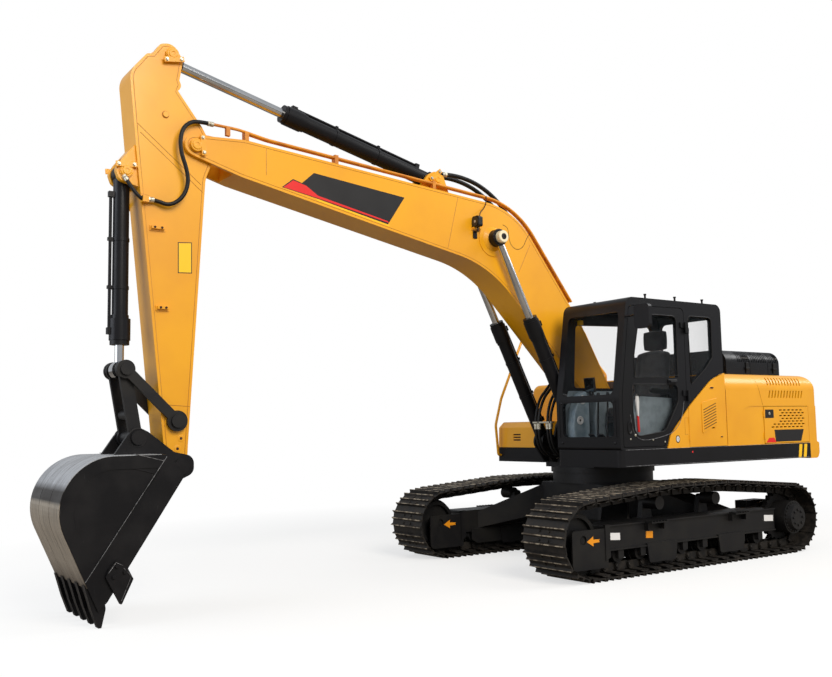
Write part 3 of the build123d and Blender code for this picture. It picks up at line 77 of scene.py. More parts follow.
def addNode(tree, kind, inputs=(), **settings):  # one node, its settings, then what feeds its inputs in order
    node = tree.nodes.new("ShaderNode" + kind)
    for key, value in settings.items():
        if key in node.inputs:
            node.inputs[key].default_value = value
        else:
            setattr(node, key, value)
    for number, source in enumerate(inputs):
        if source is None:
            continue
        if isinstance(source, (int, float, tuple)):
            node.inputs[number].default_value = source
        else:
            tree.links.new(source if isinstance(source, bpy.types.NodeSocket) else source.outputs[0],
                           node.inputs[number])
    return node


# lamps are a name, place, size in metres, watts and tint; the shadow fades out between shadowFrom and shadowTo
studio = dict(sky="#EEF1F5", skyStrength=0.55, floorHalf=60, aim=(0.8, 0, 1.8), shadowFrom=5.0, shadowTo=8.5, glow=0.62,
              paper="#F2F2F0", paperBounce="#8C857C",
              lamps=(("keyLamp", (4.5, 15, 12), 9, 2450, "#FFF7EC"), ("fillLamp", (14, -2, 6), 8, 560, "#EEF4FF"),
                     ("rimLamp", (-10, 6, 11), 8, 850, "#FFFFFF")))


def addStudio():
    scene = bpy.context.scene
    scene.view_settings.view_transform = "Standard"
    world = bpy.data.worlds.new("sky")
    scene.world = world
    world.use_nodes = True
    tree = world.node_tree
    tree.nodes.clear()
    rays = addNode(tree, "LightPath")
    soft = addNode(tree, "Background", Color=colour(studio["sky"]), Strength=studio["skyStrength"])
    white = addNode(tree, "Background", Color=(1, 1, 1, 1), Strength=1.0)
    seen = addNode(tree, "Math", operation="MAXIMUM",
                   inputs=(rays.outputs["Is Camera Ray"], rays.outputs["Is Transmission Ray"]))
    mix = addNode(tree, "MixShader", inputs=(seen, soft.outputs[0], white.outputs[0]))
    addNode(tree, "OutputWorld", inputs=(mix,))
    for name, place, size, watts, tint in studio["lamps"]:
        lamp = bpy.data.objects.new(name, bpy.data.lights.new(name, "AREA"))
        lamp.data.size, lamp.data.energy, lamp.data.color = size, watts, colour(tint)[:3]
        lamp.location = place
        lamp.rotation_euler = (Vector(studio["aim"]) - lamp.location).to_track_quat("-Z", "Y").to_euler()
        scene.collection.objects.link(lamp)
    floor = bpy.data.meshes.new("floor")
    half = studio["floorHalf"]
    floor.from_pydata([(-half, -half, 0), (half, -half, 0), (half, half, 0), (-half, half, 0)], [], [(0, 1, 2, 3)])
    floorPiece = bpy.data.objects.new("floor", floor)
    scene.collection.objects.link(floorPiece)
    sweep = bpy.data.materials.new("paperSweep")
    sweep.use_nodes = True
    tree = sweep.node_tree
    tree.nodes.clear()
    # seen by the camera it is white, but for the shadow under the machine
    rays = addNode(tree, "LightPath")
    place = addNode(tree, "TexCoord")
    spread = addNode(tree, "VectorMath", operation="LENGTH", inputs=(place.outputs["Object"],))
    far = addNode(tree, "MapRange",
                  inputs=(spread.outputs["Value"], studio["shadowFrom"], studio["shadowTo"], 0.0, 1.0))
    # the paper is darker to the light that bounces, so undersides stay deep
    shade = mixColour(tree, rays.outputs["Is Camera Ray"], studio["paperBounce"], studio["paper"])
    paper = addNode(tree, "BsdfDiffuse", inputs=(shade,))
    glow = addNode(tree, "Emission", Color=(1, 1, 1, 1), Strength=1.0)
    share = addNode(tree, "MapRange", inputs=(far, 0.0, 1.0, studio["glow"], 1.0))
    seen = addNode(tree, "Math", operation="MULTIPLY", inputs=(share, rays.outputs["Is Camera Ray"]))
    mix = addNode(tree, "MixShader", inputs=(seen, paper, glow))
    addNode(tree, "OutputMaterial", inputs=(mix,))
    floor.materials.append(sweep)


def mixColour(tree, factor, first, second):
    mix = addNode(tree, "Mix", data_type="RGBA", clamp_factor=True)
    tree.links.new(factor.outputs[0] if hasattr(factor, "outputs") else factor, mix.inputs[0])
    for number, source in ((6, first), (7, second)):
        if isinstance(source, str):
            mix.inputs[number].default_value = colour(source)
        else:
            tree.links.new(source, mix.inputs[number])
    return mix.outputs[2]


addCamera()
addStudio()
print("studio ready")


# finishes
def newMaterial(name, base, roughness, metallic=0.0, **sockets):
    material = bpy.data.materials.new(name)
    material.use_nodes = True
    shader = material.node_tree.nodes["Principled BSDF"]
    shader.inputs["Base Color"].default_value = colour(base)
    shader.inputs["Roughness"].default_value = roughness
    shader.inputs["Metallic"].default_value = metallic
    for key, value in sockets.items():
        shader.inputs[key.replace("_", " ")].default_value = value
    return material, material.node_tree, shader


def noise(tree, millimetres, detail=2.0, stretch=(1, 1, 1)):  # noise whose grains have a real size
    place = addNode(tree, "TexCoord")
    scaled = addNode(tree, "Mapping", inputs=(place.outputs["Object"],),
                     Scale=[1000 / millimetres / s for s in stretch])
    return addNode(tree, "TexNoise", inputs=(scaled,), Scale=1.0, Detail=detail)


def surface(name, base, shade, roughness, metallic=0.0, patch=600, grain=4, depth=0.0004, rougher=0.12,
            low=0.4, high=0.62, **sockets):
    # a finish whose colour drifts from base to shade in patches, over a fine grain; both are in millimetres
    material, tree, shader = newMaterial(name, base, roughness, metallic, **sockets)
    patches = addNode(tree, "MapRange", inputs=(noise(tree, patch, 4.0), low, high, 0.0, 1.0))
    tree.links.new(mixColour(tree, patches, base, shade), shader.inputs["Base Color"])
    rough = addNode(tree, "MapRange", inputs=(patches, 0.0, 1.0, roughness, roughness + rougher))
    tree.links.new(rough.outputs[0], shader.inputs["Roughness"])
    bump = addNode(tree, "Bump", Strength=0.5, Distance=depth)
    tree.links.new(noise(tree, grain, 2.0).outputs[0], bump.inputs["Height"])
    tree.links.new(bump.outputs[0], shader.inputs["Normal"])
    return material, tree, shader


def over(made, factor, tint):  # a second colour laid over what feeds the base colour
    material, tree, shader = made
    under = shader.inputs["Base Color"].links[0].from_socket
    tree.links.new(mixColour(tree, factor, under, tint), shader.inputs["Base Color"])
    return material


finish = {}


def addFinish(name, *look, **settings):
    finish[name] = surface(name, *look, **settings)[0]


sprayed = dict(patch=900, grain=5, depth=0.0002, rougher=0.05, Coat_Weight=0.25, Coat_Roughness=0.12)
moulded = dict(patch=90, grain=2.5, depth=0.0004)
# two-pack polyurethane enamel, sprayed: clear even gloss with a faint orange peel
addFinish("yellowEnamel", "#F1AA10", "#E79E0C", 0.33, **sprayed)
# the same enamel on hydraulic pipes, a little darker
addFinish("pipeEnamel", "#E2921A", "#C5761A", 0.36, patch=120, grain=4, depth=0.0002)
# the same enamel, darker: painted shade along weld beads and pressed seams, and round the arm's plug
addFinish("paintedSeamShade", "#B9750E", "#A8680C", 0.4, patch=90, grain=3, depth=0.0003)
# satin black enamel on sheet and castings: low sheen, hides the welds
addFinish("blackEnamel", "#17171A", "#111113", 0.3, patch=500, grain=5, depth=0.0002, Specular_IOR_Level=0.22)
# chassis black over rough plate: dull, with dust in the hollows
addFinish("chassisBlack", "#171719", "#1D1C1B", 0.4, patch=220, grain=8, depth=0.0006, Specular_IOR_Level=0.3)
# quenched boron steel shoes, rolled: brown-black scale
addFinish("shoeSteel", "#191715", "#2B2621", 0.55, metallic=0.25, patch=70, grain=6, depth=0.0012)
# grouser edges ground bright by the soil, with pale dust
addFinish("rubbedSteel", "#A99D89", "#544B40", 0.5, metallic=0.45, patch=60, grain=5, depth=0.0008, low=0.42, high=0.55)
# hard chromed bar, ground and polished
addFinish("hardChrome", "#DCDDDE", "#C4C6C8", 0.12, metallic=1.0, patch=300, grain=2, depth=0.00002, rougher=0.04)
# bright zinc plate on screws and unions
addFinish("zincPlate", "#D9D4C4", "#B9B29C", 0.3, metallic=0.8, patch=15, grain=2, depth=0.0001)
# nitrile hose cover and straps: dull black, slightly uneven
addFinish("rubber", "#0C0C0D", "#131314", 0.45, patch=60, grain=2, depth=0.0003, Specular_IOR_Level=0.3)
# glass filled nylon mouldings in the cab: fine spark-eroded grain
addFinish("cabMoulding", "#77838A", "#6A767D", 0.5, **moulded)
addFinish("darkMoulding", "#1D1F21", "#17181A", 0.45, **moulded)
addFinish("blueMoulding", "#93A5B0", "#7E919C", 0.45, **moulded)
# reinforced plastic hood, gel coated: deep black with soft highlights
addFinish("hoodMoulding", "#0E0E11", "#0A0A0C", 0.22, patch=400, grain=6, depth=0.0002, Specular_IOR_Level=0.3)
# grey iron, sand cast: coarse and dull
addFinish("castIron", "#3A3A3A", "#2C2B2A", 0.6, metallic=0.4, patch=80, grain=5, depth=0.001)
# pale lines on edges: bare steel where the black paint has rubbed through on weld and plate, and painted highlight
# where an edge catches the light
addFinish("rubbedEdgeAndHighlight", "#7A7A7C", "#4A4A4B", 0.4, metallic=0.5, patch=25, grain=3, depth=0.0003)
# cast vinyl film, a pale ring, silvered glass, painted shade in slots, holes and hollows (the same dark brown also on
# the lamp's cable), and the lamp's lens: one even colour each
for name, base, roughness, metallic in (
        ("whiteVinyl", "#ECECEC", 0.4, 0.0), ("redVinyl", "#E3201B", 0.35, 0.0), ("yellowVinyl", "#FFC812", 0.35, 0.0),
        ("blackVinyl", "#161414", 0.34, 0.0), ("orangeVinyl", "#F29A18", 0.4, 0.0), ("creamRing", "#EFE3BE", 0.35, 0.0),
        ("mirrorGlass", "#B9C2C8", 0.05, 1.0), ("slotShade", "#3A1A0E", 0.8, 0.0), ("lampGlass", "#B9B4AC", 0.15, 0.0)):
    addFinish(name, base, base, roughness, metallic, patch=200, grain=3, depth=0.00005, rougher=0.03)

scratches = dict(tint="#343434", size=9, low=0.70, high=0.76, stretch=(1, 1, 14))


def scratchedBlack():  # bucket paint: black chassis coat with light digging scratches
    made = surface("bucketBlack", "#0E0E11", "#151416", 0.36, patch=260, grain=7, depth=0.0005, Specular_IOR_Level=0.25)
    rub = addNode(made[1], "MapRange", inputs=(noise(made[1], scratches["size"], 6.0, scratches["stretch"]),
                                               scratches["low"], scratches["high"], 0.0, 1.0))
    return over(made, rub, scratches["tint"])


# bands are the heights in metres between which each tint comes in; streaks are in millimetres
polish = dict(bands=((1.16, 1.10, "#34302D"), (1.02, 0.99, "#C4B8A6"), (0.50, 0.35, "#8E8272")), streak=7,
              streakStretch=(40, 1, 40), streakTint="#2E2A27")


def wornWrapper():  # wear plate polished by the spoil: grey at the crest, brown at the lip, streaked round the curve
    made = surface("wornWrapper", "#CDD0D4", "#B4B6B9", 0.36, metallic=0.6, patch=240, grain=6, depth=0.0004)
    tree = made[1]
    place = addNode(tree, "TexCoord")
    height = addNode(tree, "SeparateXYZ", inputs=(place.outputs["Object"],))
    for low, high, tint in polish["bands"]:
        over(made, addNode(tree, "MapRange", inputs=(height.outputs["Z"], low, high, 0.0, 1.0)), tint)
    streaks = noise(tree, polish["streak"], 5.0, polish["streakStretch"])
    return over(made, addNode(tree, "MapRange", inputs=(streaks, 0.40, 0.70, 0.0, 0.7)), polish["streakTint"])


def tintedPane():  # toughened glass, clear with a slight grey tint; only its edges reflect much
    material, tree, shader = newMaterial("tintedPane", "#2A3236", 0.02)
    rim = addNode(tree, "LayerWeight", Blend=0.2)
    clear = addNode(tree, "MapRange", inputs=(rim.outputs["Fresnel"], 0.0, 1.0, 0.025, 0.5))
    tree.links.new(clear.outputs[0], shader.inputs["Alpha"])
    return material


# outer skin of the house: side sheets, top, and the round shoulder between them; within shade of its axis is the
# inside, which gets painted shade
house = dict(side=1.355, top=2.13, shoulder=0.175, shade=(0.158, 0.162), shadeTint="#2A150C")
shoulderY, shoulderZ = house["side"] - house["shoulder"], house["top"] - house["shoulder"]


def panelEnamel():  # enamel on the outer skin of the house sheets, with painted shade inside slots and at sheet edges
    made = surface("panelEnamel", "#F1AA10", "#E79E0C", 0.33, **sprayed)
    tree = made[1]
    place = addNode(tree, "TexCoord")
    parts = addNode(tree, "SeparateXYZ", inputs=(place.outputs["Object"],))
    across = addNode(tree, "Math", operation="ABSOLUTE", inputs=(parts.outputs["Y"],))
    out, up = (addNode(tree, "Math", operation="MAXIMUM", inputs=(addNode(
        tree, "Math", operation="SUBTRACT", inputs=(source, middle)), 0.0))
        for source, middle in ((across, shoulderY), (parts.outputs["Z"], shoulderZ)))
    flat = addNode(tree, "CombineXYZ", inputs=(out, up))
    reach = addNode(tree, "VectorMath", operation="LENGTH", inputs=(flat,))
    paintedShadeMask = addNode(tree, "MapRange", inputs=(reach.outputs["Value"], *house["shade"], 1.0, 0.0))
    return over(made, paintedShadeMask, house["shadeTint"])


finish["panelEnamel"] = panelEnamel()
finish["bucketBlack"] = scratchedBlack()
finish["wornWrapper"] = wornWrapper()
finish["tintedPane"] = tintedPane()
# woven polyester, 3 mm rib
addFinish("seatCloth", "#2A2B2E", "#202124", 0.85, patch=120, grain=3, depth=0.001, Sheen_Weight=0.25)

nodeFinish = dict(
    yellowEnamel="boom arm counterweight fuel_tank hydraulic_tank tool_box handrails",
    panelEnamel="side_panels left_fairing left_front_door left_rear_door right_rear_door",
    chassisBlack="car_body side_frames idlers sprockets final_drives rollers slew_ring main_frame rocker bucket_link",
    blackEnamel="deck cab_shell cab_door mirror boom_cylinder_barrels arm_cylinder_barrel bucket_cylinder_barrel "
                "work_lamp exhaust",
    bucketBlack="bucket bucket_teeth", hoodMoulding="hood", castIron="engine", pipeEnamel="boom_pipes",
    hardChrome="boom_cylinder_rods arm_cylinder_rod bucket_cylinder_rod", tintedPane="cab_glass door_glass",
    shoeSteel="track_left track_right", seatCloth="operator_seat", darkMoulding="consoles",
    rubber="boom_hoses bucket_hoses foot_hoses")
for name, wearing in nodeFinish.items():
    for node in wearing.split():
        nodes[node].data.materials.clear()
        nodes[node].data.materials.append(finish[name])
print("finishes ready")


# building tools
def settle(piece, body, finishName, replaces=(), bevel=0.0, smooth=False):
    if smooth:
        for polygon in piece.data.polygons:
            polygon.use_smooth = True
    if bevel:
        edge = piece.modifiers.new("edge", "BEVEL")
        edge.width, edge.segments, edge.limit_method, edge.angle_limit = bevel, 2, "ANGLE", math.radians(40)
    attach(piece, body)
    if replaces:
        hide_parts(*replaces)
    return piece


def newPiece(name, mesh, finishName):
    piece = bpy.data.objects.new(name, mesh)
    bpy.context.scene.collection.objects.link(piece)
    if finishName:
        mesh.materials.clear()
        mesh.materials.append(finish[finishName])
    return piece


def meshOf(name, bm):
    bmesh.ops.recalc_face_normals(bm, faces=bm.faces)
    mesh = bpy.data.meshes.new(name)
    bm.to_mesh(mesh)
    bm.free()
    return mesh


def fromBm(name, bm, body, finishName, **extra):
    return settle(newPiece(name, meshOf(name, bm), finishName), body, finishName, **extra)


def turns(count):  # angles once round
    return [2 * math.pi * k / count for k in range(count)]


def rectangle(xLow, zLow, xHigh, zHigh):
    return [(xLow, zLow), (xHigh, zLow), (xHigh, zHigh), (xLow, zHigh)]


def oval(x, z, radiusX, radiusZ, sides):
    return [(x + radiusX * math.cos(a), z + radiusZ * math.sin(a)) for a in turns(sides)]


def addPrism(bm, corners, near, far, faces=(1,)):  # outline of x and z, pulled along Y, on one side or on both
    for face in faces:
        yLow, yHigh = sorted((face * near, face * far))
        first = [bm.verts.new((x, yLow, z)) for x, z in corners]
        last = [bm.verts.new((x, yHigh, z)) for x, z in corners]
        bm.faces.new(first)
        bm.faces.new(last[::-1])
        for i in range(len(corners)):
            j = (i + 1) % len(corners)
            bm.faces.new((first[i], last[i], last[j], first[j]))


def addBox(bm, low, high):
    addPrism(bm, rectangle(low[0], low[2], high[0], high[2]), low[1], high[1])


def addLathe(bm, centre, axis, rows, sides):  # rows of radius and distance along the axis
    axis, centre = Vector(axis).normalized(), Vector(centre)
    across = axis.orthogonal().normalized()
    other = axis.cross(across)
    rings = []
    for radius, along in rows:
        if radius < 1e-6:
            rings.append([bm.verts.new(centre + axis * along)])
            continue
        rings.append([bm.verts.new(centre + axis * along + (across * math.cos(a) + other * math.sin(a)) * radius)
                      for a in turns(sides)])
    for low, high in zip(rings, rings[1:]):
        for k in range(sides):
            n = (k + 1) % sides
            corners = [low[k % len(low)], low[n % len(low)], high[n % len(high)], high[k % len(high)]]
            corners = list(dict.fromkeys(corners))
            if len(corners) > 2:
                bm.faces.new(corners)
    for ring in (rings[0], rings[-1]):
        if len(ring) > 2:
            bm.faces.new(ring)


def addBoss(bm, x, y, z, rows, sides, faces=(1,)):  # a lathe that stands off a side sheet
    for face in faces:
        addLathe(bm, (x, face * y, z), (0, face, 0), rows, sides)


def prisms(name, body, finishName, rows, faces=(1,), **extra):  # a piece of outlines, each with its two Y
    bm = bmesh.new()
    for row in rows:
        addPrism(bm, *row, faces)
    return fromBm(name, bm, body, finishName, **extra)


def bosses(name, body, finishName, spots, rows, sides, faces=(1,), **extra):  # a piece of equal lathes
    bm = bmesh.new()
    for x, y, z in spots:
        addBoss(bm, x, y, z, rows, sides, faces)
    return fromBm(name, bm, body, finishName, **extra)


def lathes(name, body, finishName, centres, axis, rows, sides):  # the same, along any one axis
    bm = bmesh.new()
    for centre in centres:
        addLathe(bm, centre, axis, rows, sides)
    return fromBm(name, bm, body, finishName)


def tubes(name, routes, radius, body, finishName, smoothRoute=True, sides=2, closed=False, **extra):
    curve = bpy.data.curves.new(name, "CURVE")
    curve.dimensions, curve.use_fill_caps, curve.resolution_u = "3D", True, 6
    curve.bevel_depth, curve.bevel_resolution = radius, sides
    for route in routes:
        spline = curve.splines.new("NURBS" if smoothRoute else "POLY")
        spline.points.add(len(route) - 1)
        for point, co in zip(spline.points, route):
            point.co = (*co, 1)
        if smoothRoute:
            spline.order_u, spline.use_endpoint_u = 3, True
        spline.use_cyclic_u = closed
    holder = bpy.data.objects.new(name + "Line", curve)
    bpy.context.scene.collection.objects.link(holder)
    mesh = bpy.data.meshes.new_from_object(holder.evaluated_get(bpy.context.evaluated_depsgraph_get()))
    mesh.name = name
    bpy.data.objects.remove(holder)
    piece = newPiece(name, mesh, finishName)
    return settle(piece, body, finishName, smooth=True, **extra) if body else piece


def beads(name, lines, radius, body, finishName, **extra):  # thin straight-run lines: welds, seams, edges
    return tubes(name, lines, radius, body, finishName, smoothRoute=False, sides=1, **extra)


def both(points, y):  # the same points on both sides
    return [[(x, face * y, z) for x, z in points] for face in bothSides]


def repeatTree():  # instances of one template at each place, turned by the place's own attribute
    tree = bpy.data.node_groups.new("repeatAtPlaces", "GeometryNodeTree")
    keys = {}
    for name, kind in (("Places", "Geometry"), ("Template", "Object"), ("Size", "Float"), ("Finish", "Material"),
                       ("Rubbed finish", "Material")):
        socket = tree.interface.new_socket(name, in_out="INPUT", socket_type="NodeSocket" + kind)
        keys[name] = socket.identifier
    tree.interface.new_socket("Pieces", in_out="OUTPUT", socket_type="NodeSocketGeometry")
    start, end = tree.nodes.new("NodeGroupInput"), tree.nodes.new("NodeGroupOutput")
    info, turn, put, real, paint, rubbed, paintRubbed = (tree.nodes.new("GeometryNode" + kind) for kind in (
        "ObjectInfo", "InputNamedAttribute", "InstanceOnPoints", "RealizeInstances", "SetMaterial",
        "InputNamedAttribute", "SetMaterial"))
    turn.data_type, rubbed.data_type = "FLOAT_VECTOR", "BOOLEAN"
    turn.inputs["Name"].default_value, rubbed.inputs["Name"].default_value = "turn", "rubbed"
    for source, output, target, socket in (
            (start, "Places", put, "Points"), (start, "Template", info, "Object"), (info, "Geometry", put, "Instance"),
            (turn, "Attribute", put, "Rotation"), (start, "Size", put, "Scale"), (put, "Instances", real, "Geometry"),
            (real, "Geometry", paint, "Geometry"), (start, "Finish", paint, "Material"),
            (paint, "Geometry", paintRubbed, "Geometry"), (rubbed, "Attribute", paintRubbed, "Selection"),
            (start, "Rubbed finish", paintRubbed, "Material"), (paintRubbed, "Geometry", end, "Pieces")):
        tree.links.new(source.outputs[output], target.inputs[socket])
    return tree, keys


repeating, repeatKeys = repeatTree()


def repeated(name, places, template, body, finishName, rubbedName=None, size=1.0, **extra):
    # places are pairs of a point and an Euler turn
    mesh = bpy.data.meshes.new(name + "Places")
    mesh.from_pydata([tuple(point) for point, _ in places], [], [])
    turn = mesh.attributes.new("turn", "FLOAT_VECTOR", "POINT")
    for number, (_, euler) in enumerate(places):
        turn.data[number].vector = tuple(euler)
    holder = bpy.data.objects.new(name + "Holder", mesh)
    bpy.context.scene.collection.objects.link(holder)
    made = holder.modifiers.new("repeat", "NODES")
    made.node_group = repeating
    for key, value in (("Template", template), ("Size", size), ("Finish", finish[finishName]),
                       ("Rubbed finish", finish[rubbedName or finishName])):
        made[repeatKeys[key]] = value
    result = bpy.data.meshes.new_from_object(holder.evaluated_get(bpy.context.evaluated_depsgraph_get()))
    bpy.data.objects.remove(holder)
    return settle(newPiece(name, result, None), body, finishName, **extra)


def hexBolt():  # M20 head on its washer
    bm = bmesh.new()
    addLathe(bm, (0, 0, 0), (0, 0, 1), [(0.017, -0.002), (0.017, 0.003), (0.0, 0.003)], 16)
    addLathe(bm, (0, 0, 0), (0, 0, 1), [(0.0145, 0.002), (0.0145, 0.012), (0.0125, 0.0135), (0.0, 0.0135)], 6)
    return bpy.data.objects.new("hexBolt", meshOf("hexBolt", bm))


boltHead = hexBolt()


def bolts(name, spots, body, finishName="zincPlate", size=1.0):  # spots are pairs of a point and the way it faces
    places = [(point, Vector(way).to_track_quat("Z", "Y").to_euler()) for point, way in spots]
    return repeated(name, places, boltHead, body, finishName, size=size)


def plateLoops(node, y, inset):  # edges of a node's flat side at y, moved inwards in its own plane
    bm = bmesh.new()
    bm.from_mesh(nodes[node].data)
    bmesh.ops.remove_doubles(bm, verts=bm.verts, dist=0.00005)
    flat = {f for f in bm.faces if abs(f.calc_center_median().y - y) < 0.0005 and abs(f.normal.y) > 0.99}
    rim = [e for e in bm.edges if sum(f in flat for f in e.link_faces) == 1]
    after = {}
    for edge in rim:
        for vert in edge.verts:
            after.setdefault(vert, []).append(edge.other_vert(vert))
    loops, left = [], set(after)
    while left:
        here = next(iter(left))
        previous, loop = None, []
        while here in left:
            left.discard(here)
            loop.append((here.co.x, here.co.z))
            onward = [v for v in after[here] if v is not previous and v in left]
            if not onward:
                break
            previous, here = here, onward[0]
        loops.append(loop)
    bm.free()
    return [insetLoop(loop, y, inset) for loop in loops if len(loop) > 2]


def insetLoop(loop, y, inset, spacing=0.03):
    area = sum(a[0] * b[1] - b[0] * a[1] for a, b in zip(loop, loop[1:] + loop[:1]))
    side = 1 if area > 0 else -1
    moved = []
    for before, here, onward in zip(loop[-1:] + loop[:-1], loop, loop[1:] + loop[:1]):
        way = Vector((onward[0] - before[0], onward[1] - before[1]))
        if way.length < 1e-6:
            continue
        way.normalize()
        moved.append((here[0] - way.y * side * inset, y, here[1] + way.x * side * inset))
    thinned = [moved[0]]
    for point in moved[1:]:
        if (Vector(point) - Vector(thinned[-1])).length > spacing:
            thinned.append(point)
    return thinned


def plateLoop(node, y, inset):  # the longest of them
    return max(plateLoops(node, y, inset), key=lambda points: max(p[0] for p in points) - min(p[0] for p in points))


# tracks: one chain link with its shoe, repeated round the idler, the carrier rollers and the sprocket
track = dict(gauge=2.38, span=3.474, axle=0.41, treadRadius=0.272, carrierOffset=0.48, carrierRadius=0.075,
             carrierZ=0.702, links=46, shoeWidth=0.6, linkHeight=0.1, shoe=0.012, grouser=0.026, shoeGap=0.008,
             railIn=0.042, railOut=0.092, rail=[(-0.118, 0.020), (-0.106, 0.006), (-0.07, 0.001), (0.02, 0.001),
                                                (0.03, 0.03), (0.02, 0.1), (-0.07, 0.1), (-0.118, 0.06)],
             boltX=0.045, boltY=0.067, lip=0.062)


def treadLine():
    t = track
    ahead = t["span"] / 2
    drop = math.atan2(t["axle"] - t["carrierZ"], ahead - t["carrierOffset"])
    reach = math.hypot(ahead - t["carrierOffset"], t["axle"] - t["carrierZ"])
    lean = drop + math.acos((t["carrierRadius"] - t["treadRadius"]) / reach)
    wheels = ((ahead, t["axle"], t["treadRadius"], -math.pi / 2, lean),
              (t["carrierOffset"], t["carrierZ"], t["carrierRadius"], lean, math.pi / 2),
              (-t["carrierOffset"], t["carrierZ"], t["carrierRadius"], math.pi / 2, math.pi - lean),
              (-ahead, t["axle"], t["treadRadius"], math.pi - lean, 1.5 * math.pi))
    runs = []
    for number, (x, z, radius, first, last) in enumerate(wheels):
        nextX, nextZ, nextRadius = wheels[(number + 1) % 4][:3]
        startX, startZ = x + radius * math.cos(last), z + radius * math.sin(last)
        endX, endZ = nextX + nextRadius * math.cos(last), nextZ + nextRadius * math.sin(last)
        runs.append((radius * (last - first), x, z, radius, first))
        runs.append((math.hypot(endX - startX, endZ - startZ), startX, startZ, 0, last))
    return runs


def linkPlaces():
    runs = treadLine()
    pitch = sum(run[0] for run in runs) / track["links"]

    def treadPoint(distance):
        for length, x, z, radius, angle in runs:
            if distance <= length and radius:
                angle += distance / radius
                return x + radius * math.cos(angle), z + radius * math.sin(angle)
            if distance <= length:
                return x - distance * math.sin(angle), z + distance * math.cos(angle)
            distance -= length
        return treadPoint(0)
    chainPins = [treadPoint(number * pitch) for number in range(track["links"])]
    return [((x1 + x2) / 2, (z1 + z2) / 2, math.atan2(z2 - z1, x2 - x1) - math.pi / 2)
            for (x1, z1), (x2, z2) in zip(chainPins, chainPins[1:] + chainPins[:1])], pitch


def trackLink(pitch):
    t, bm = track, bmesh.new()
    half, width = (pitch - t["shoeGap"]) / 2, t["shoeWidth"] / 2
    base, plate = t["linkHeight"] + 0.0005, t["linkHeight"] + t["shoe"]
    top = plate + t["grouser"]
    # the rear half of the shoe: an edge grouser, the plate and half the middle grouser
    rising = [(-half, base), (-half, top - 0.002), (-half + 0.002, top), (-half + 0.009, top),
              (-half + 0.012, top - 0.003), (-half + 0.028, plate + 0.002), (-half + 0.034, plate), (-0.018, plate),
              (-0.013, plate + 0.003), (-0.007, top - 0.003), (-0.004, top)]
    under = [(half - 0.012, base), (half - 0.014, base), (-half + 0.012, base)]
    addPrism(bm, rising + [(-x, z) for x, z in rising[::-1]] + under, -width, width)
    for face in bothSides:  # lips that close the gap to the next shoe
        addPrism(bm, [(face * (half - 0.006), base + 0.001), (face * (half + t["lip"]), base - 0.022),
                      (face * (half + t["lip"]), base - 0.029), (face * (half - 0.006), base - 0.009)], -width, width)
    addPrism(bm, t["rail"], t["railIn"] + 0.004, t["railOut"] - 0.022, bothSides)
    addPrism(bm, [(-x, z) for x, z in t["rail"]], t["railIn"] + 0.024, t["railOut"] - 0.001, bothSides)
    addLathe(bm, (-pitch / 2, -t["railOut"] - 0.012, 0.04), (0, 1, 0),
             [(0.018, 0), (0.022, 0.004), (0.022, 0.2), (0.018, 0.204)], 12)
    for x in (-t["boltX"], t["boltX"]):
        for y in (-t["boltY"], t["boltY"]):
            addLathe(bm, (x, y, plate - 0.001), (0, 0, 1), [(0.015, 0), (0.015, 0.011), (0.012, 0.013)], 6)
    mesh = meshOf("trackLink", bm)
    rubbed = mesh.attributes.new("rubbed", "BOOLEAN", "FACE")
    for polygon in mesh.polygons:
        rubbed.data[polygon.index].value = polygon.center.z > top - 0.0045 and abs(polygon.normal.y) < 0.5
    return bpy.data.objects.new("trackLink", mesh)


places, pitch = linkPlaces()
oneLink = trackLink(pitch)
for side, face in (("left", 1), ("right", -1)):
    turned = []
    for x, z, out in places:
        columns = Matrix(((-math.sin(out), 0, math.cos(out)), (0, -1, 0), (math.cos(out), 0, math.sin(out))))
        turned.append(((x, face * track["gauge"] / 2, z), columns.to_euler()))
    repeated("chain_" + side, turned, oneLink, "undercarriage", "shoeSteel", "rubbedSteel", replaces=["track_" + side])
# roller guards inside each frame and covers over the travel motors
guard = dict(front=1.25, rear=-1.25, low=0.125, high=0.31, y=1.03, wall=0.012)
motor = dict(rear=-1.93, front=-1.42, low=0.235, high=0.60, inner=0.84, outer=1.0)
g, m = guard, motor
for side, face in (("left", 1), ("right", -1)):
    prisms("guards_" + side, "undercarriage", "chassisBlack", (
        ([(g["rear"], g["low"] + 0.05), (g["rear"] + 0.08, g["low"]), (g["front"] - 0.08, g["low"]),
          (g["front"], g["low"] + 0.05), (g["front"], g["high"]), (g["rear"], g["high"])], g["y"] - g["wall"], g["y"]),
        ([(m["rear"], m["low"] + 0.09), (m["rear"] + 0.09, m["low"]), (m["front"], m["low"]), (m["front"], m["high"]),
          (m["rear"] + 0.12, m["high"]), (m["rear"], m["high"] - 0.12)], m["inner"], m["outer"])), (face,), bevel=0.004)
print("tracks ready")

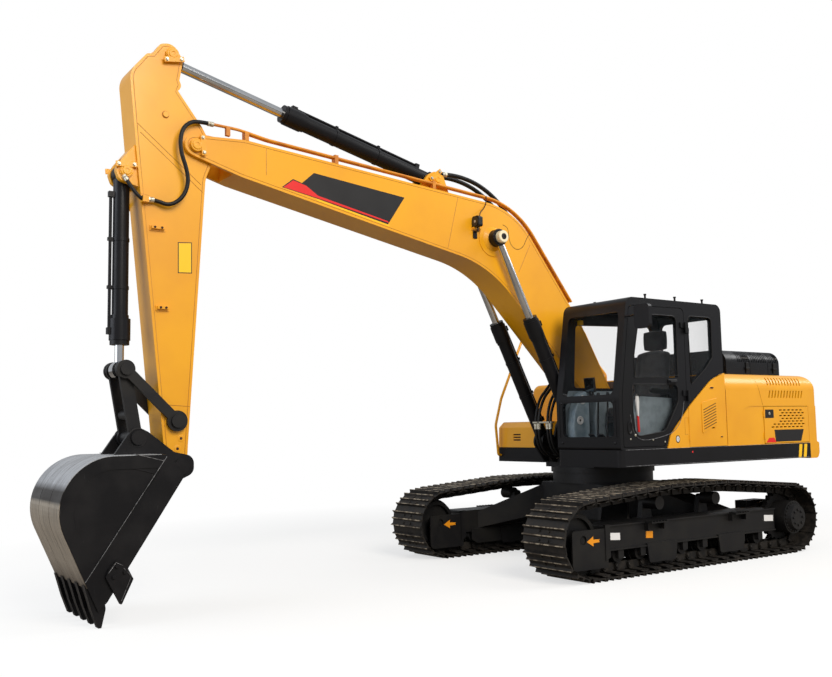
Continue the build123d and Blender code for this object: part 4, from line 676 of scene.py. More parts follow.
# undercarriage fittings; boltRings are a count, a radius and the distance of their face from the middle plane
gear = dict(coverOut=1.37, coverIn=1.01, hubX=-1.737, hubZ=0.41, hole=(1.75, 0.401), arrow=(1.508, 1.689, 0.39),
            boltRings=((24, 0.165, 1.428), (8, 0.09, 1.488)))
tail, head, z = gear["arrow"]
arrow = [(tail, z + 0.014), (tail + 0.012, z), (tail, z - 0.014), (head - 0.09, z - 0.018), (head - 0.09, z - 0.05),
         (head, z), (head - 0.09, z + 0.05), (head - 0.09, z + 0.018)]
out = gear["coverOut"]
for side, face in (("left", 1), ("right", -1)):
    prisms("arrow_" + side, "undercarriage", "orangeVinyl", ((arrow, out + 0.0002, out + 0.0014),), (face,))
    bosses("coverHole_" + side, "undercarriage", "rubber", ((gear["hole"][0], out - 0.0002, gear["hole"][1]),),
           [(0.03, 0), (0.03, 0.002), (0.024, 0.0025), (0.0, 0.0025)], 24, (face,))
    spots = [((gear["hubX"] + radius * math.cos(a), face * y, gear["hubZ"] + radius * math.sin(a)), (0, face, 0))
             for count, radius, y in gear["boltRings"] for a in turns(count)]
    bolts("hubBolts_" + side, spots, "undercarriage", "chassisBlack", 1.0)

# boom and arm: weld lines and seams in painted shade, pins and stripes
boomHalf, armHalf = 0.2, 0.156
tip, foot = pins["arm_swing"], pins["boom_lift"]
crowd, curl = pins["arm_cylinder_swing"], pins["bucket_cylinder_swing"]
rise, crown = foot + Vector((1.70, 0, 1.82)), tip + Vector((0.215, 0, 0.823))
weld = dict(radius=0.0032, inset=0.026, sunk=0.0015, seam=0.0038, seamSunk=0.002)
seams = dict(boom=[[(2.307, 4.073), (2.46, 3.492)], [(1.268, 3.641), (1.449, 3.311)], [(4.62, 4.255), (4.62, 3.99)]],
             arm=[[(5.857, 4.298), (5.26, 3.818)], [(5.83, 4.22), (5.245, 3.75)], [(5.585, 1.80), (5.365, 1.785)]])
for body, y in (("boom", boomHalf), ("arm", armHalf)):
    loop = plateLoop(body, y, weld["inset"])
    for number, face in enumerate(bothSides):
        beads(f"{body}Welds_{number}", [[(x, face * (y - weld["sunk"]), z) for x, _, z in loop + loop[:1]]],
              weld["radius"], body, "paintedSeamShade")
for body, y in (("boom", boomHalf), ("arm", armHalf)):
    beads(body + "Seams", [line for pair in seams[body] for line in both(pair, y - weld["seamSunk"])], weld["seam"],
          body, "paintedSeamShade")


def pinHead(radius):  # stepped head of a greased pin
    return [(radius, 0), (radius, 0.008), (radius * 0.9, 0.011), (radius * 0.72, 0.011), (radius * 0.7, 0.017),
            (radius * 0.62, 0.019), (radius * 0.3, 0.019), (radius * 0.28, 0.015), (0.0, 0.015)]


bar = dict(length=0.19, half=0.024, near=0.003, far=0.017, boltShare=0.36)


def keeper(bm, x, z, yInner, face, turn):  # flat bar that stops the pin turning; gives its bolts' spots
    across, along = Vector((math.cos(turn), math.sin(turn))), Vector((-math.sin(turn), math.cos(turn)))
    corners = [Vector((x, z)) + across * a * bar["half"] + along * b * bar["length"] / 2
               for a, b in ((-1, -1), (1, -1), (1, 1), (-1, 1))]
    addPrism(bm, [tuple(c) for c in corners], yInner + bar["near"], yInner + bar["far"], (face,))
    reach = bar["length"] * bar["boltShare"]
    return [((x + along.x * b * reach, face * (yInner + bar["far"]), z + along.y * b * reach), (0, face, 0))
            for b in (-1, 1)]


# each pin's number, body, place, the face it stands on, its radius, and its keeper's turn
for number, body, pin, yInner, radius, turn in (
        (0, "boom", tip, boomHalf + 0.022, 0.062, 3.05), (1, "boom", crowd, 0.13, 0.055, 0.9),
        (2, "arm", crown, armHalf + 0.026, 0.058, -1.75), (3, "arm", curl, 0.142, 0.056, 1.5),
        (5, "upper", foot, 0.262, 0.07, 0.8)):
    bm, spots = bmesh.new(), []
    for face in bothSides:
        addBoss(bm, pin.x, yInner, pin.z, pinHead(radius), 40, (face,))
        offset = Vector((math.cos(turn), math.sin(turn))) * radius * 0.95
        spots += keeper(bm, pin.x + offset.x, pin.z + offset.y, yInner, face, turn)
    fromBm(f"pin_{number}", bm, body, "yellowEnamel", bevel=0.0015)
    bolts(f"pinBolts_{number}", spots, body)
print("welds and pins ready")

# plain stripes on each side of the boom; each stands out by its own thickness
stripes = dict(black=(0.0008, [(4.336, 3.992), (4.237, 3.966), (4.103, 4.085), (3.02, 3.975), (3.235, 3.665),
                               (4.07, 3.832), (4.456, 3.897)]),
               red=(0.0012, [(4.44, 3.899), (4.334, 3.98), (4.19, 3.945), (4.06, 3.862), (3.238, 3.70),
                             (3.222, 3.682), (4.066, 3.838)]),
               yellow=(0.0012, [(4.08, 3.828), (3.215, 3.66), (3.225, 3.645), (4.075, 3.813)]))
for name, (out, outline) in stripes.items():
    prisms("boomStripe_" + name, "boom", name + "Vinyl", ((outline, boomHalf - 0.001, boomHalf + out),), bothSides)

# lift cylinder pins: black rod eye, pale ring and dark centre
for name, finishName, y, rows, sides in (
        ("rodEyes", "blackEnamel", 0.245,
         [(0.094, 0), (0.097, 0.004), (0.097, 0.084), (0.088, 0.094), (0.055, 0.094)], 48),
        ("rodPins", "creamRing", 0.336, [(0.068, 0), (0.068, 0.058), (0.062, 0.064), (0.036, 0.064), (0.034, 0.058),
                                         (0.0, 0.058)], 48),
        ("rodPinCentres", "rubber", 0.394, [(0.032, 0), (0.032, 0.008), (0.026, 0.010), (0.012, 0.010), (0.010, 0.006),
                                            (0.0, 0.006)], 32)):
    bosses(name, "boom_cylinder_rods", finishName, ((rise.x, y, rise.z),), rows, sides, bothSides)
collarBack = 0.158
rodWay = (crown - crowd).normalized()
lathes("armRodCollar", "arm_cylinder_rod", "blackEnamel", [crown - rodWay * collarBack], rodWay,
       [(0.050, 0), (0.058, 0.006), (0.058, 0.05), (0.052, 0.056)], 32)
plug = (tip.x + 0.272, tip.z + 0.253)
# painted shade: a darker ring round the arm's plug
bosses("armPlugRing", "arm", "paintedSeamShade", ((plug[0], armHalf - 0.001, plug[1]),),
       [(0.034, 0), (0.034, 0.004), (0.028, 0.007), (0.022, 0.007), (0.021, 0.002)], 28, bothSides)
bosses("armPlug", "arm", "rubber", ((plug[0], armHalf + 0.0005, plug[1]),),
       [(0.021, 0), (0.021, 0.006), (0.010, 0.0075), (0.0, 0.0075)], 20, bothSides)
print("boom dressed")

# bucket: worn wrapper plates over the heel, each between two Y
wrapper = dict(crest=1.372, heelX=6.804, lean=0.44, radius=0.44, lipZ=0.33, startX=5.74, sunk=0.001,
               thick=0.0055, steps=24, plates=((-0.4745, -0.165), (-0.156, 0.156), (0.165, 0.4745)))


def wrapperLine():  # side view, from the top plate round the heel towards the lip
    w = wrapper
    slope = Vector((-w["lean"], -1)).normalized()
    corner = Vector((w["heelX"], w["crest"]))
    bend = math.pi / 2 + math.atan(w["lean"])
    reach = w["radius"] * math.tan(bend / 2)
    first, last = corner - Vector((reach, 0)), corner + slope * reach
    centre = first - Vector((0, w["radius"]))
    line = [Vector((w["startX"], w["crest"]))]
    for k in range(w["steps"] + 1):
        angle = math.pi / 2 - bend * k / w["steps"]
        line.append(centre + Vector((math.cos(angle), math.sin(angle))) * w["radius"])
    end = corner + slope * ((w["crest"] - w["lipZ"]) / -slope.y)
    return line + [last.lerp(end, 0.5), end]


def addShell(bm, line, yLow, yHigh, out, thick):  # plate that follows the line, standing off by out
    rows = []
    for k, point in enumerate(line):
        before, after = line[max(k - 1, 0)], line[min(k + 1, len(line) - 1)]
        way = (after - before).normalized()
        normal = Vector((-way.y, way.x))
        rows.append((point + normal * out, point + normal * (out + thick)))
    for (inA, outA), (inB, outB) in zip(rows, rows[1:]):
        near, far = ([bm.verts.new((c.x, y, c.y)) for c in (inA, inB, outB, outA)] for y in (yLow, yHigh))
        bm.faces.new((near[3], near[2], far[2], far[3]))
        bm.faces.new((near[0], far[0], far[1], near[1]))
        bm.faces.new(near)
        bm.faces.new(far[::-1])


bm = bmesh.new()
for low, high in wrapper["plates"]:
    addShell(bm, wrapperLine(), low, high, -wrapper["sunk"], wrapper["thick"])
bmesh.ops.remove_doubles(bm, verts=bm.verts, dist=0.0003)
fromBm("wearPlates", bm, "bucket", "wornWrapper")
print("bucket dressed")


# operator's seat: cushion, back and head rest are pads
pad = dict(cuts=15, round=0.30, bulge=0.12, spread=0.004)


def addPad(bm, low, high, crown=(0, 0, 1), grooves=(), lean=0.0):
    # a closed box pulled in at its corners and crowned on one side; grooves are rows of axis, place and depth
    low, high, crown = Vector(low), Vector(high), Vector(crown)
    bmesh.ops.create_cube(bm, size=2.0)
    bmesh.ops.subdivide_edges(bm, edges=bm.edges[:], cuts=pad["cuts"], use_grid_fill=True)
    for vert in bm.verts:
        cube = vert.co.copy()
        squares = [c * c for c in cube]
        ball = Vector([cube[i] * math.sqrt(max(0, 1 - squares[i - 2] / 2 - squares[i - 1] / 2
                                               + squares[i - 2] * squares[i - 1] / 3)) for i in range(3)])
        moved = cube.lerp(ball, pad["round"])
        side = crown.dot(cube)
        if side > 0.2:
            flat = [c for c, k in zip(cube, crown) if abs(k) < 0.5]
            swell = pad["bulge"] * (1 - flat[0] ** 2) * (1 - flat[1] ** 2)
            for axis, where, deep in grooves:
                swell -= deep * math.exp(-(cube[axis] - where) ** 2 / pad["spread"])
            moved += crown * swell * side
        for i in range(3):
            moved[i] = (low[i] + high[i]) / 2 + moved[i] * (high[i] - low[i]) / 2
        moved.x -= lean * (moved.z - low.z)
        vert.co = moved


def padPiece(name, body, **sizes):
    bm = bmesh.new()
    addPad(bm, **sizes)
    piece = fromBm(name, bm, body, "seatCloth", smooth=True)
    soft = piece.modifiers.new("soft", "SUBSURF")
    soft.levels = soft.render_levels = 1


seat = dict(y=0.895, folds=5, fold=0.034, foldX=0.36, foldZ=1.40, armIn=0.226, armOut=0.25, postX=0.0, postY=0.07,
            postZ=2.34, armrest=[(0.06, 1.88), (0.10, 1.95), (0.36, 1.96), (0.40, 1.93), (0.36, 1.90), (0.12, 1.88)])
s, y = seat, seat["y"]
bm = bmesh.new()
addBox(bm, (0.14, y - 0.2, 1.338), (0.58, y + 0.2, 1.40))
for k in range(s["folds"]):
    addLathe(bm, (s["foldX"], y, s["foldZ"] + k * s["fold"]), (0, 0, 1),
             [(0.17, 0), (0.2, s["fold"] / 2), (0.17, s["fold"])], 28)
addBox(bm, (0.08, y - 0.21, 1.57), (0.62, y + 0.21, 1.625))
for face in bothSides:
    addPrism(bm, s["armrest"], y + face * s["armIn"], y + face * s["armOut"])
fromBm("seatBase", bm, "upper", "darkMoulding", replaces=["operator_seat"], bevel=0.004)
padPiece("seatCushion", "upper", low=(0.09, y - 0.235, 1.625), high=(0.625, y + 0.235, 1.755),
         grooves=((0, -0.2, 0.10), (0, 0.35, 0.10), (1, 0.62, 0.08), (1, -0.62, 0.08)))
padPiece("seatBack", "upper", low=(0.07, y - 0.225, 1.74), high=(0.20, y + 0.225, 2.40), crown=(1, 0, 0), lean=0.17,
         grooves=((2, -0.35, 0.10), (2, 0.25, 0.10), (1, 0.62, 0.10), (1, -0.62, 0.10)))
padPiece("headRest", "upper", low=(-0.055, y - 0.15, 2.40), high=(0.045, y + 0.15, 2.63), crown=(1, 0, 0))
lathes("headRestPosts", "upper", "zincPlate", [(s["postX"], y + face * s["postY"], s["postZ"]) for face in bothSides],
       (0, 0, 1), [(0.008, 0), (0.008, 0.14)], 10)

# consoles, levers and screen inside the cab; right and left are the consoles' two Y
controls = dict(right=(0.482, 0.64), left=(1.16, 1.2), vents=((0.91, 1.84), (0.955, 1.61)),
                sticks=((0.70, 0.56), (0.68, 1.18)), pedals=(0.82, 0.96))
c = controls
prisms("armConsoles", "upper", "cabMoulding", (
    ([(0.10, 1.338), (0.74, 1.338), (0.76, 1.60), (0.72, 1.82), (0.60, 1.88), (0.10, 1.86)], *c["right"]),
    ([(0.10, 1.338), (0.72, 1.338), (0.74, 1.60), (0.70, 1.82), (0.60, 1.86), (0.10, 1.84)], *c["left"])),
    replaces=["consoles"], bevel=0.012)
prisms("cornerConsole", "upper", "blueMoulding", (
    ([(0.80, 1.34), (1.04, 1.34), (1.05, 1.55), (1.02, 1.72), (0.93, 1.90), (0.84, 1.94), (0.80, 1.80)], 0.478, 0.60),),
    bevel=0.016)
prisms("cabLining", "upper", "cabMoulding", (
    ([(-0.50, 1.345), (1.05, 1.345), (1.06, 1.80), (1.00, 1.945), (-0.50, 1.945)], 0.4705, 0.477),
    (rectangle(-0.50, 1.3375, 1.07, 1.3415), 0.48, 1.20)), bevel=0.002)
bosses("ventRings", "upper", "whiteVinyl", [(x, 0.599, z) for x, z in c["vents"]],
       [(0.047, 0), (0.05, 0.006), (0.044, 0.011), (0.036, 0.011), (0.034, 0.004)], 28)
bosses("ventCones", "upper", "darkMoulding", [(x, 0.598, z) for x, z in c["vents"]],
       [(0.034, 0.0), (0.034, 0.004), (0.012, 0.001), (0.012, 0.005), (0.0, 0.007)], 24)
dark = bmesh.new()
for x, y in c["sticks"]:  # joysticks with their boots
    addLathe(dark, (x, y, 1.86), (0, 0, 1),
             [(0.04, 0), (0.036, 0.02), (0.026, 0.03), (0.024, 0.04), (0.014, 0.05), (0.011, 0.10), (0.02, 0.12),
              (0.026, 0.16), (0.024, 0.19), (0.014, 0.2), (0.0, 0.201)], 20)
for y in c["pedals"]:  # travel levers and pedals
    addLathe(dark, (0.915, y, 1.338), (-0.06, 0, 1),
             [(0.014, 0), (0.012, 0.05), (0.010, 0.5), (0.018, 0.505), (0.02, 0.56), (0.016, 0.575), (0.0, 0.577)], 14)
    addPrism(dark, [(0.93, 1.35), (1.02, 1.45), (1.015, 1.46), (0.92, 1.362)], y - 0.04, y + 0.04)
addPrism(dark, [(0.72, 1.93), (0.745, 1.925), (0.765, 2.09), (0.74, 2.095)], 0.485, 0.64)
addPrism(dark, [(0.735, 1.86), (0.75, 1.86), (0.755, 1.94), (0.74, 1.94)], 0.55, 0.575)
fromBm("controlsDark", dark, "upper", "darkMoulding", bevel=0.002)
prisms("screenGlass", "upper", "mirrorGlass",
       (([(0.7465, 1.937), (0.748, 1.937), (0.7655, 2.08), (0.764, 2.081)], 0.497, 0.628),))
prisms("cabLamp", "upper", "yellowVinyl", ((rectangle(0.78, 2.70, 0.83, 2.755), 0.475, 0.53),), bevel=0.008)
# safety lever: white arm, red grip, beside the door
prisms("lockLever", "upper", "whiteVinyl", (
    ([(0.70, 1.64), (0.715, 1.64), (0.735, 1.80), (0.725, 1.86), (0.695, 1.86), (0.688, 1.80)], 1.215, 1.235),),
    bevel=0.003)
prisms("lockGrip", "upper", "redVinyl", (([(0.69, 1.47), (0.71, 1.47), (0.717, 1.65), (0.698, 1.65)], 1.216, 1.234),),
       bevel=0.003)
print("cab inside ready")

# cab outside: rubber seals round the panes, roof bolts, door handle and screws, a painted highlight along the door's
# lower edge, edge beads and the mirror's glass
seal = dict(y=1.341, out=0.012, radius=0.007)
for node, body, name in (("door_glass", "cab_door", "doorSeals"), ("cab_glass", "upper", "sideSeals")):
    loops = [[(x, seal["y"] + seal["out"], z) for x, _, z in loop]
             for loop in plateLoops(node, seal["y"], 0.0) if len(loop) > 4]
    beads(name, loops, seal["radius"], body, "rubber", closed=True)
lathes("roofBolts", "upper", "blackEnamel", [(x, y, 2.90) for x in (0.574, 0.082, -0.395) for y in (1.27, 0.52)],
       (0, 0, 1), [(0.018, 0), (0.018, 0.03), (0.011, 0.034), (0.011, 0.062), (0.016, 0.066), (0.016, 0.08),
                   (0.0, 0.082)], 14)
doorY = 1.353  # the door's screws and port start just outside its sheet
prisms("doorHandle", "cab_door", "hoodMoulding", ((rectangle(0.215, 1.99, 0.36, 2.04), 1.352, 1.368),
                                                  (rectangle(0.23, 2.005, 0.34, 2.024), 1.366, 1.386)), bevel=0.004)
bm = bmesh.new()
addBoss(bm, 0.905, doorY, 1.44, [(0.0, 0.001), (0.012, 0.001), (0.014, 0.006), (0.0, 0.010)], 16)
for x, z in ((0.63, 1.385), (0.44, 1.36), (0.98, 1.40)):
    addBoss(bm, x, doorY + 0.001, z, [(0.010, 0), (0.010, 0.004), (0.0, 0.006)], 14)
fromBm("doorScrews", bm, "cab_door", "zincPlate")
bm = bmesh.new()
port = Vector((0.985, doorY, 1.52))
addBoss(bm, *port, [(0.035, 0.0), (0.038, 0.006), (0.03, 0.009), (0.026, 0.004), (0.0, 0.002)], 28)
bmesh.ops.scale(bm, verts=bm.verts, vec=(1, 1, 2.0), space=Matrix.Translation(-port))
fromBm("speakerPort", bm, "cab_door", "hoodMoulding")
# painted highlight: a pale line along the door's pressed edge under the lower pane
doorEdge = [(0.975, 1.66), (0.955, 1.52), (0.89, 1.415), (0.76, 1.375), (0.44, 1.42), (0.27, 1.47), (0.13, 1.62),
            (0.10, 1.80)]
tubes("doorEdge", [[(x, doorY + 0.003, z) for x, z in doorEdge]], 0.0035, "cab_door", "rubbedEdgeAndHighlight", sides=1)
prisms("mirrorFace", "upper", "mirrorGlass", ((rectangle(1.0245, 2.565, 1.0265, 2.775), 1.556, 1.732),), bevel=0.0005)
beads("cabEdges", [[(1.139, y, 1.42), (1.139, y, 1.80)] for y in (1.30, 0.46)], 0.005, "upper", "blackEnamel")
lathes("frontScrews", "upper", "hoodMoulding", [(1.135, y, z) for y in (0.50, 1.28) for z in (1.36, 1.80)], (1, 0, 0),
       [(0.013, 0), (0.013, 0.006), (0.006, 0.009), (0.0, 0.009)], 14)
print("cab outside ready")


# house: seams in painted shade, dark sheets of painted shade behind the slots, louvre, latches, plates and stripes
def skinY(z):  # distance of the side sheet from the middle plane at this height
    over = z - (house["top"] - house["shoulder"])
    if over <= 0:
        return house["side"]
    return house["side"] - house["shoulder"] + math.sqrt(max(0.0, house["shoulder"] ** 2 - over ** 2))


def skinLine(points, face=1, steps=8):
    line = []
    for (x1, z1), (x2, z2) in zip(points, points[1:]):
        line += [(x1 + (x2 - x1) * k / steps, z1 + (z2 - z1) * k / steps) for k in range(steps)]
    line.append(points[-1])
    return [(x, face * (skinY(z) + 0.0004), z) for x, z in line]


panelSeam, hoodSeam = [(-0.645, 1.30), (-0.64, 2.125)], [(-1.21, 2.125), (-1.337, 1.758)]
beads("houseSeams", [skinLine(panelSeam), skinLine(hoodSeam), skinLine(hoodSeam, -1)], 0.0022, "upper", "paintedSeamShade")
# dark sheets just inside the side and shoulder slots: painted shade seen through the slots
slots = dict(rear=-2.20, front=-1.30, y=1.18, z=1.955, radius=0.132, foot=1.76, step=10, steps=9, wall=0.003)
s = slots
arc = [(s["y"] + s["radius"], s["foot"])] + [
    (s["y"] + s["radius"] * math.cos(a), s["z"] + s["radius"] * math.sin(a))
    for a in (math.radians(s["step"] * k) for k in range(s["steps"]))]
bm = bmesh.new()
for face in bothSides:
    for (y1, z1), (y2, z2) in zip(arc, arc[1:]):
        bm.faces.new([bm.verts.new((x, face * y, z)) for x, y, z in (
            (s["rear"], y1, z1), (s["front"], y1, z1), (s["front"], y2, z2), (s["rear"], y2, z2))])
bmesh.ops.remove_doubles(bm, verts=bm.verts, dist=0.0005)
slotBacks = fromBm("slotBacks", bm, "upper", "slotShade")
slotBacks.modifiers.new("wall", "SOLIDIFY").thickness = s["wall"]
# painted shade: a dark sheet on each rear door behind its slots
for body, face in (("left_rear_door", 1), ("right_rear_door", -1)):
    prisms(body + "_mesh", body, "slotShade", ((rectangle(-2.22, 1.42, -1.46, 1.722), 1.320, 1.3235),), (face,))
louvre = dict(y=1.3555, thick=0.006, count=8, first=1.487, step=0.031, rise=0.075, front=-0.225, rear=-0.445,
              radius=0.0042,
              plate=[(-0.195, 1.77), (-0.195, 1.455), (-0.215, 1.44), (-0.445, 1.53), (-0.462, 1.55), (-0.478, 1.82),
                     (-0.462, 1.838), (-0.21, 1.79)])
v = louvre
prisms("louvrePlate", "left_front_door", "yellowEnamel", ((v["plate"], v["y"], v["y"] + v["thick"]),), bevel=0.002)
slitY = v["y"] + v["thick"] + 0.0002
beads("louvreSlits", [[(v["front"], slitY, low), (v["rear"], slitY, low + v["rise"])]
                      for low in (v["first"] + v["step"] * k for k in range(v["count"]))],
      v["radius"], "left_front_door", "slotShade")
beads("hingeSeams", [[(x, house["side"] + 0.0002, z)
                      for x, z in ((0.045, 1.435), (0.098, 1.43), (0.098, 1.615), (0.045, 1.615))]],
      0.002, "upper", "paintedSeamShade")
latches = ((-0.39, 1.954, 0.046, 0.017), (-0.536, 1.396, 0.026, 0.012))
prisms("doorLatches", "left_front_door", "yellowEnamel", [(oval(*latch, 24), 1.3545, 1.3585) for latch in latches],
       bevel=0.001)
prisms("latchHollows", "left_front_door", "slotShade",
       [(oval(x, z, 0.72 * radiusX, 0.62 * radiusZ, 24), 1.3575, 1.3592) for x, z, radiusX, radiusZ in latches])
# filler flap, and the hinge block low on the front door
prisms("fillerRing", "upper", "blackVinyl", ((oval(0.226, 1.385, 0.034, 0.042, 28), 1.3545, 1.3565),))
prisms("fillerPlate", "upper", "whiteVinyl", ((oval(0.226, 1.385, 0.024, 0.031, 28), 1.3560, 1.3572),))
prisms("fillerMark", "upper", "blackVinyl", ((rectangle(0.222, 1.368, 0.231, 1.402), 1.3570, 1.3580),))
prisms("hingeBlock", "left_front_door", "yellowEnamel", ((rectangle(0.030, 1.44, 0.034, 1.60), 1.352, 1.3585),),
       bevel=0.001)

for name, finishName, outline in (
        ("black", "blackVinyl", [(-1.546, 1.459), (-2.153, 1.459), (-2.087, 1.315), (-1.568, 1.315)]),
        ("red", "redVinyl", [(-1.375, 1.309), (-1.435, 1.365), (-1.535, 1.365), (-1.575, 1.309)]),
        ("lock", "blackVinyl", [(-1.376, 1.601), (-1.544, 1.601), (-1.544, 1.703), (-1.376, 1.703)])):
    prisms("rearDoor_" + name, "left_rear_door", finishName, ((outline, 1.3548, 1.3562),))
bosses("lockBarrel", "left_rear_door", "zincPlate", ((-1.46, 1.356, 1.655),),
       [(0.018, 0), (0.018, 0.003), (0.012, 0.005), (0.0, 0.005)], 20)
deckY = 1.3545
prisms("deckStripes", "upper", "yellowVinyl", [
    ([(x + 0.028, 1.109), (x - 0.032, 1.109), (x - 0.062, 1.275), (x - 0.002, 1.275)], deckY, deckY + 0.0015)
    for x in (-2.045, -2.150)], bothSides)
bosses("deckDot", "upper", "redVinyl", ((-0.013, deckY, 1.239),), [(0.011, 0), (0.011, 0.0012), (0.0, 0.0012)], 16)
beads("deckEdges", [[(-2.275, deckY, z), (1.06, deckY, z)] for z in (1.286, 1.116)], 0.003, "upper", "rubbedEdgeAndHighlight")
# hood latches: rubber straps on their hooks
prisms("hoodLatches", "hood", "rubber", [row for x in (-1.56, -2.12) for row in (
    (rectangle(x - 0.025, 2.165, x + 0.025, 2.30), 0.997, 1.012),
    (rectangle(x - 0.036, 2.205, x + 0.036, 2.235), 1.010, 1.022))], bevel=0.003)
prisms("toolBoxSlots", "upper", "slotShade", [
    (rectangle(0.4605, low, 0.5035, low + 0.017), -1.0445, -0.9055) for low in (1.3725 + 0.034 * k for k in range(3))])
beads("toolBoxEdge", [[(0.415, -1.328, 1.6085), (0.415, -0.642, 1.6085)],
                      [(0.51, -1.328, 1.2885), (0.515, -0.642, 1.2885)]],
      0.0035, "upper", "slotShade")
print("house ready")

# stickers on the track frames, left blank, and the arrow on each frame's inner side
prisms("frameArrows", "undercarriage", "orangeVinyl",
       ((arrow, gear["coverIn"] - 0.0018, gear["coverIn"] - 0.0001),), bothSides)
stickerY = (1.3495, 1.3515)
prisms("frameNotes", "undercarriage", "whiteVinyl", (
    ([(1.19, 0.37), (1.34, 0.38), (1.335, 0.452), (1.19, 0.442)], *stickerY),
    ([(-1.26, 0.39), (-1.435, 0.379), (-1.438, 0.449), (-1.262, 0.461)], *stickerY)), bothSides)
prisms("frameMarks", "undercarriage", "orangeVinyl",
       (([(0.69, 0.351), (0.797, 0.358), (0.795, 0.429), (0.687, 0.422)], *stickerY),), bothSides)

# arm: clip bars, small bosses and the blank yellow plate; clips are rows of place and width
clips, smallBosses = ((5.672, 3.373, 0.12), (5.625, 2.659, 0.10)), ((5.45, 1.503), (5.482, 1.413))
armFace = armHalf - 0.001
bm = bmesh.new()
for x, z, wide in clips:
    half = wide / 2
    addPrism(bm, rectangle(x - half, z - 0.014, x + half, z + 0.014), armFace, armHalf + 0.036)
    addPrism(bm, rectangle(x - half - 0.012, z - 0.03, x + half + 0.012, z + 0.02), armFace, armHalf + 0.008)
for x, z in smallBosses:
    addBoss(bm, x, armFace, z, [(0.032, 0), (0.032, 0.0025), (0.026, 0.0035), (0.012, 0.0035), (0.011, 0.002)], 28,
            bothSides)
fromBm("armClips", bm, "arm", "yellowEnamel", bevel=0.002)
bm = bmesh.new()
for x, z in smallBosses:
    addBoss(bm, x, armHalf + 0.001, z, [(0.0115, 0), (0.0115, 0.005), (0.0, 0.005)], 20, bothSides)
for x, z in ((5.64, 3.373), (5.705, 3.373), (5.60, 2.659), (5.65, 2.659)):
    addBoss(bm, x, armHalf + 0.034, z, [(0.011, 0), (0.011, 0.006), (0.0, 0.006)], 12)
fromBm("armHoles", bm, "arm", "slotShade")
prisms("armPlateFace", "arm", "yellowVinyl",
       (([(5.356, 2.997), (5.473, 2.990), (5.474, 3.256), (5.357, 3.266)], armFace, armHalf + 0.0012),))
prisms("armPlateRim", "arm", "blackVinyl",
       (([(5.348, 2.989), (5.481, 2.982), (5.482, 3.264), (5.349, 3.274)], armFace, armHalf + 0.0006),))

# bucket: weld lines, bolts on the side cutters, bare edges on the side plates, and painted highlights on the cutters
innerArc = [(5.786, 1.212), (5.949, 1.263), (6.119, 1.279), (6.285, 1.245), (6.401, 1.157), (6.463, 1.033),
            (6.462, 0.894), (6.419, 0.729), (6.349, 0.585), (6.302, 0.488)]
tubes("bucketWelds", both(innerArc, 0.475), 0.005, "bucket", "bucketBlack", sides=1)
beads("bucketEdges", [line for pair in ([(5.698, 1.356), (6.365, 0.379)], [(5.974, 1.384), (5.723, 1.32)])
                      for line in both(pair, 0.4825)], 0.0035, "bucket", "rubbedEdgeAndHighlight")
bosses("earRings", "bucket", "bucketBlack", ((5.851, 0.1965, 1.517),),
       [(0.085, 0), (0.085, 0.003), (0.078, 0.004), (0.06, 0.002), (0.056, 0.007), (0.03, 0.009), (0.026, 0.004),
        (0.0, 0.004)], 36, bothSides)
cutter = dict(y=0.513,
              edges=([(6.07, 0.47), (6.005, 0.40), (6.085, 0.21)], [(6.19, 0.44), (6.13, 0.52), (6.075, 0.49)]),
              bolts=((6.125, 0.487), (6.06, 0.437), (6.15, 0.405)), boltY=0.512)
# painted highlight: pale lines on each side cutter's face
for side, face in (("left", 1), ("right", -1)):
    beads("cutterEdge_" + side, [[(x, face * cutter["y"], z) for x, z in edge] for edge in cutter["edges"]],
          0.003, "bucket", "rubbedEdgeAndHighlight")
spots = [((x, face * cutter["boltY"], z), (0, face, 0)) for face in bothSides for x, z in cutter["bolts"]]
bolts("cutterBolts", spots, "bucket", "bucketBlack", 1.1)
print("details ready")

# hoses: smooth lines through the route's own points; foot and tip hoses are baked in place on no body
hoses = dict(foot=0.017, twin=0.024, tip=0.019, curl=0.017, footY=(-0.15, -0.085, 0.05, 0.115), stagger=0.014,
             twinY=0.062, tipY=0.184, curlY=0.190)


def looseTube(name, route, radius):
    piece = tubes(name, [route], radius, None, "rubber", sides=4)
    for polygon in piece.data.polygons:
        polygon.use_smooth = True
    return piece


bm = bmesh.new()
addBox(bm, (0.915, -0.178, 1.588), (0.962, 0.143, 1.606))
for number, y in enumerate(hoses["footY"]):
    s = hoses["stagger"] * (number % 2)
    route = [(0.5603, 1.185), (0.670, 1.184), (0.800, 1.210), (0.885 + s, 1.290), (0.928 + s, 1.405),
             (0.938 + s, 1.540), (0.930 + s, 1.680), (0.895, 1.810), (0.835, 1.910), (0.775, 1.9645),
             (0.704, 2.0395), (0.6405, 2.104)]
    piece = looseTube(f"footHose_{number}", [(x, y, z) for x, z in route], hoses["foot"])
    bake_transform(piece)
    if number == 0:
        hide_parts("foot_hoses")
    addLathe(bm, (0.934 + s, y, 1.515), (0, 0, 1),
             [(0.018, 0), (0.023, 0.003), (0.023, 0.036), (0.027, 0.038), (0.027, 0.066), (0.022, 0.070)], 16)
fittings = newPiece("footFittings", meshOf("footFittings", bm), "zincPlate")
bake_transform(fittings)
twin = [(-0.104, 0.086), (-0.2, 0.096), (-0.39, 0.092), (-0.61, 0.045), (-0.81, -0.050), (-0.975, -0.175),
        (-1.08, -0.300), (-1.1896, -0.4046)]
tubes("crowdHoses", both([(crowd.x + ahead, crowd.z + up) for ahead, up in twin], hoses["twinY"]), hoses["twin"],
      "boom", "rubber", sides=4, replaces=["boom_hoses"])
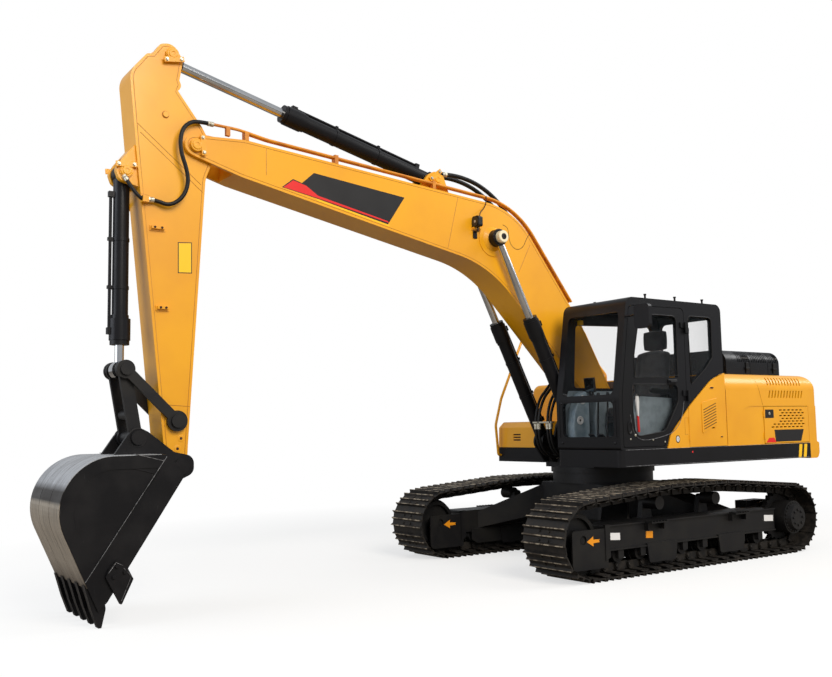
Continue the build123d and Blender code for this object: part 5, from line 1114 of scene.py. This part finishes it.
tipRows = [(-0.064, 0.186, 0.233), (0.05, 0.216, 0.212), (0.138, 0.238, 0.134), (0.168, 0.244, 0.014),
           (0.156, 0.244, -0.110), (0.108, 0.242, -0.235), (0.086, 0.238, -0.350), (0.112, 0.232, -0.465),
           (0.185, 0.222, -0.556), (0.276, 0.206, -0.590), (0.360, 0.190, -0.555), (0.440, 0.190, -0.555)]
for side, face in (("left", 1), ("right", -1)):
    route = [(5.1738, face * hoses["tipY"], 4.398)]
    route += [(tip.x + ahead, face * y, tip.z + up) for ahead, y, up in tipRows]
    piece = looseTube("tipHose_" + side, route, hoses["tip"])
    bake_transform(piece)
    if face > 0:
        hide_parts("bucket_hoses")


def union(bm, point, way, radius, length=0.06):  # crimped ferrule and hexagon nut
    addLathe(bm, point, way, [(radius + 0.001, 0), (radius + 0.006, 0.003), (radius + 0.006, length * 0.55),
                              (radius + 0.001, length * 0.6)], 18)
    nut = Vector(point) + Vector(way).normalized() * length * 0.62
    addLathe(bm, nut, way, [(radius + 0.007, 0), (radius + 0.008, 0.002), (radius + 0.008, length * 0.35),
                            (radius + 0.004, length * 0.38)], 6)


def unions(name, body, rows):
    bm = bmesh.new()
    for point, way, radius in rows:
        union(bm, point, way, radius)
    fromBm(name, bm, body, "zincPlate")


unions("tipUnions", "boom", [((5.150, f * hoses["tipY"], 4.396), (1, 0, 0.02), 0.017) for f in bothSides])
unions("armUnions", "arm", [((5.716, f * hoses["curlY"], 3.612), (1, 0, 0), 0.019) for f in bothSides])
unions("crowdUnions", "boom", [((crowd.x - 0.115, f * hoses["twinY"], crowd.z + 0.0865), (-1, 0, 0.05), 0.022)
                               for f in bothSides])
unions("footUnions", "upper", [((0.5605, y, 1.185), (1, 0, 0), 0.015) for y in hoses["footY"]])
tubes("curlHoses", [[(5.823, f * hoses["curlY"], 3.612), (5.868, f * hoses["curlY"], 3.640), (5.915, f * 0.172, 3.715),
                     (5.955, f * 0.148, 3.785)] for f in bothSides], hoses["curl"], "arm", "rubber", sides=4)
unions("curlUnions", "arm", [((5.940, f * 0.154, 3.765), (0.5, -f * 0.3, 0.85), 0.017) for f in bothSides])
print("hoses ready")

# boom lamp: clear lens in its rim, its bracket, and the thin cable
lamp = dict(x=2.119, y=0.26, z=3.81, cable=0.005, cableY=0.1965)
lathes("lampLens", "boom", "lampGlass", [(lamp["x"] - 0.001, lamp["y"], lamp["z"])], (1, 0, 0),
       [(0.044, 0), (0.044, 0.003), (0.03, 0.008), (0.0, 0.010)], 32)
lathes("lampRim", "boom", "darkMoulding", [(lamp["x"] - 0.004, lamp["y"], lamp["z"])], (1, 0, 0),
       [(0.044, 0.0), (0.053, 0.0), (0.053, 0.012), (0.044, 0.012)], 36)
sunkPart = [(1.675, 3.83), (1.647, 3.832), (1.59, 3.79), (1.590, 3.692), (1.551, 3.598), (1.461, 3.560), (1.368, 3.609),
            (1.317, 3.72), (1.262, 3.775)]
tubes("lampCable", [[(2.06, 0.262, 3.868), (2.045, 0.255, 3.92), (1.99, 0.225, 3.96), (1.94, 0.207, 4.0),
                     (1.906, 0.2055, 4.073), (1.912, 0.2055, 4.135)],
                    [(x, lamp["cableY"], z) for x, z in sunkPart]], lamp["cable"], "boom", "slotShade")
bm = bmesh.new()
addPrism(bm, [(2.01, 3.735), (2.13, 3.722), (2.13, 3.752), (2.01, 3.765)], 0.2, 0.212)
for x in (2.03, 2.11):
    addBoss(bm, x, 0.21, 3.744, [(0.016, 0), (0.016, 0.03), (0.010, 0.034), (0.0, 0.034)], 14)
fromBm("lampBracket", bm, "boom", "yellowEnamel", bevel=0.002)
print("lamp ready")
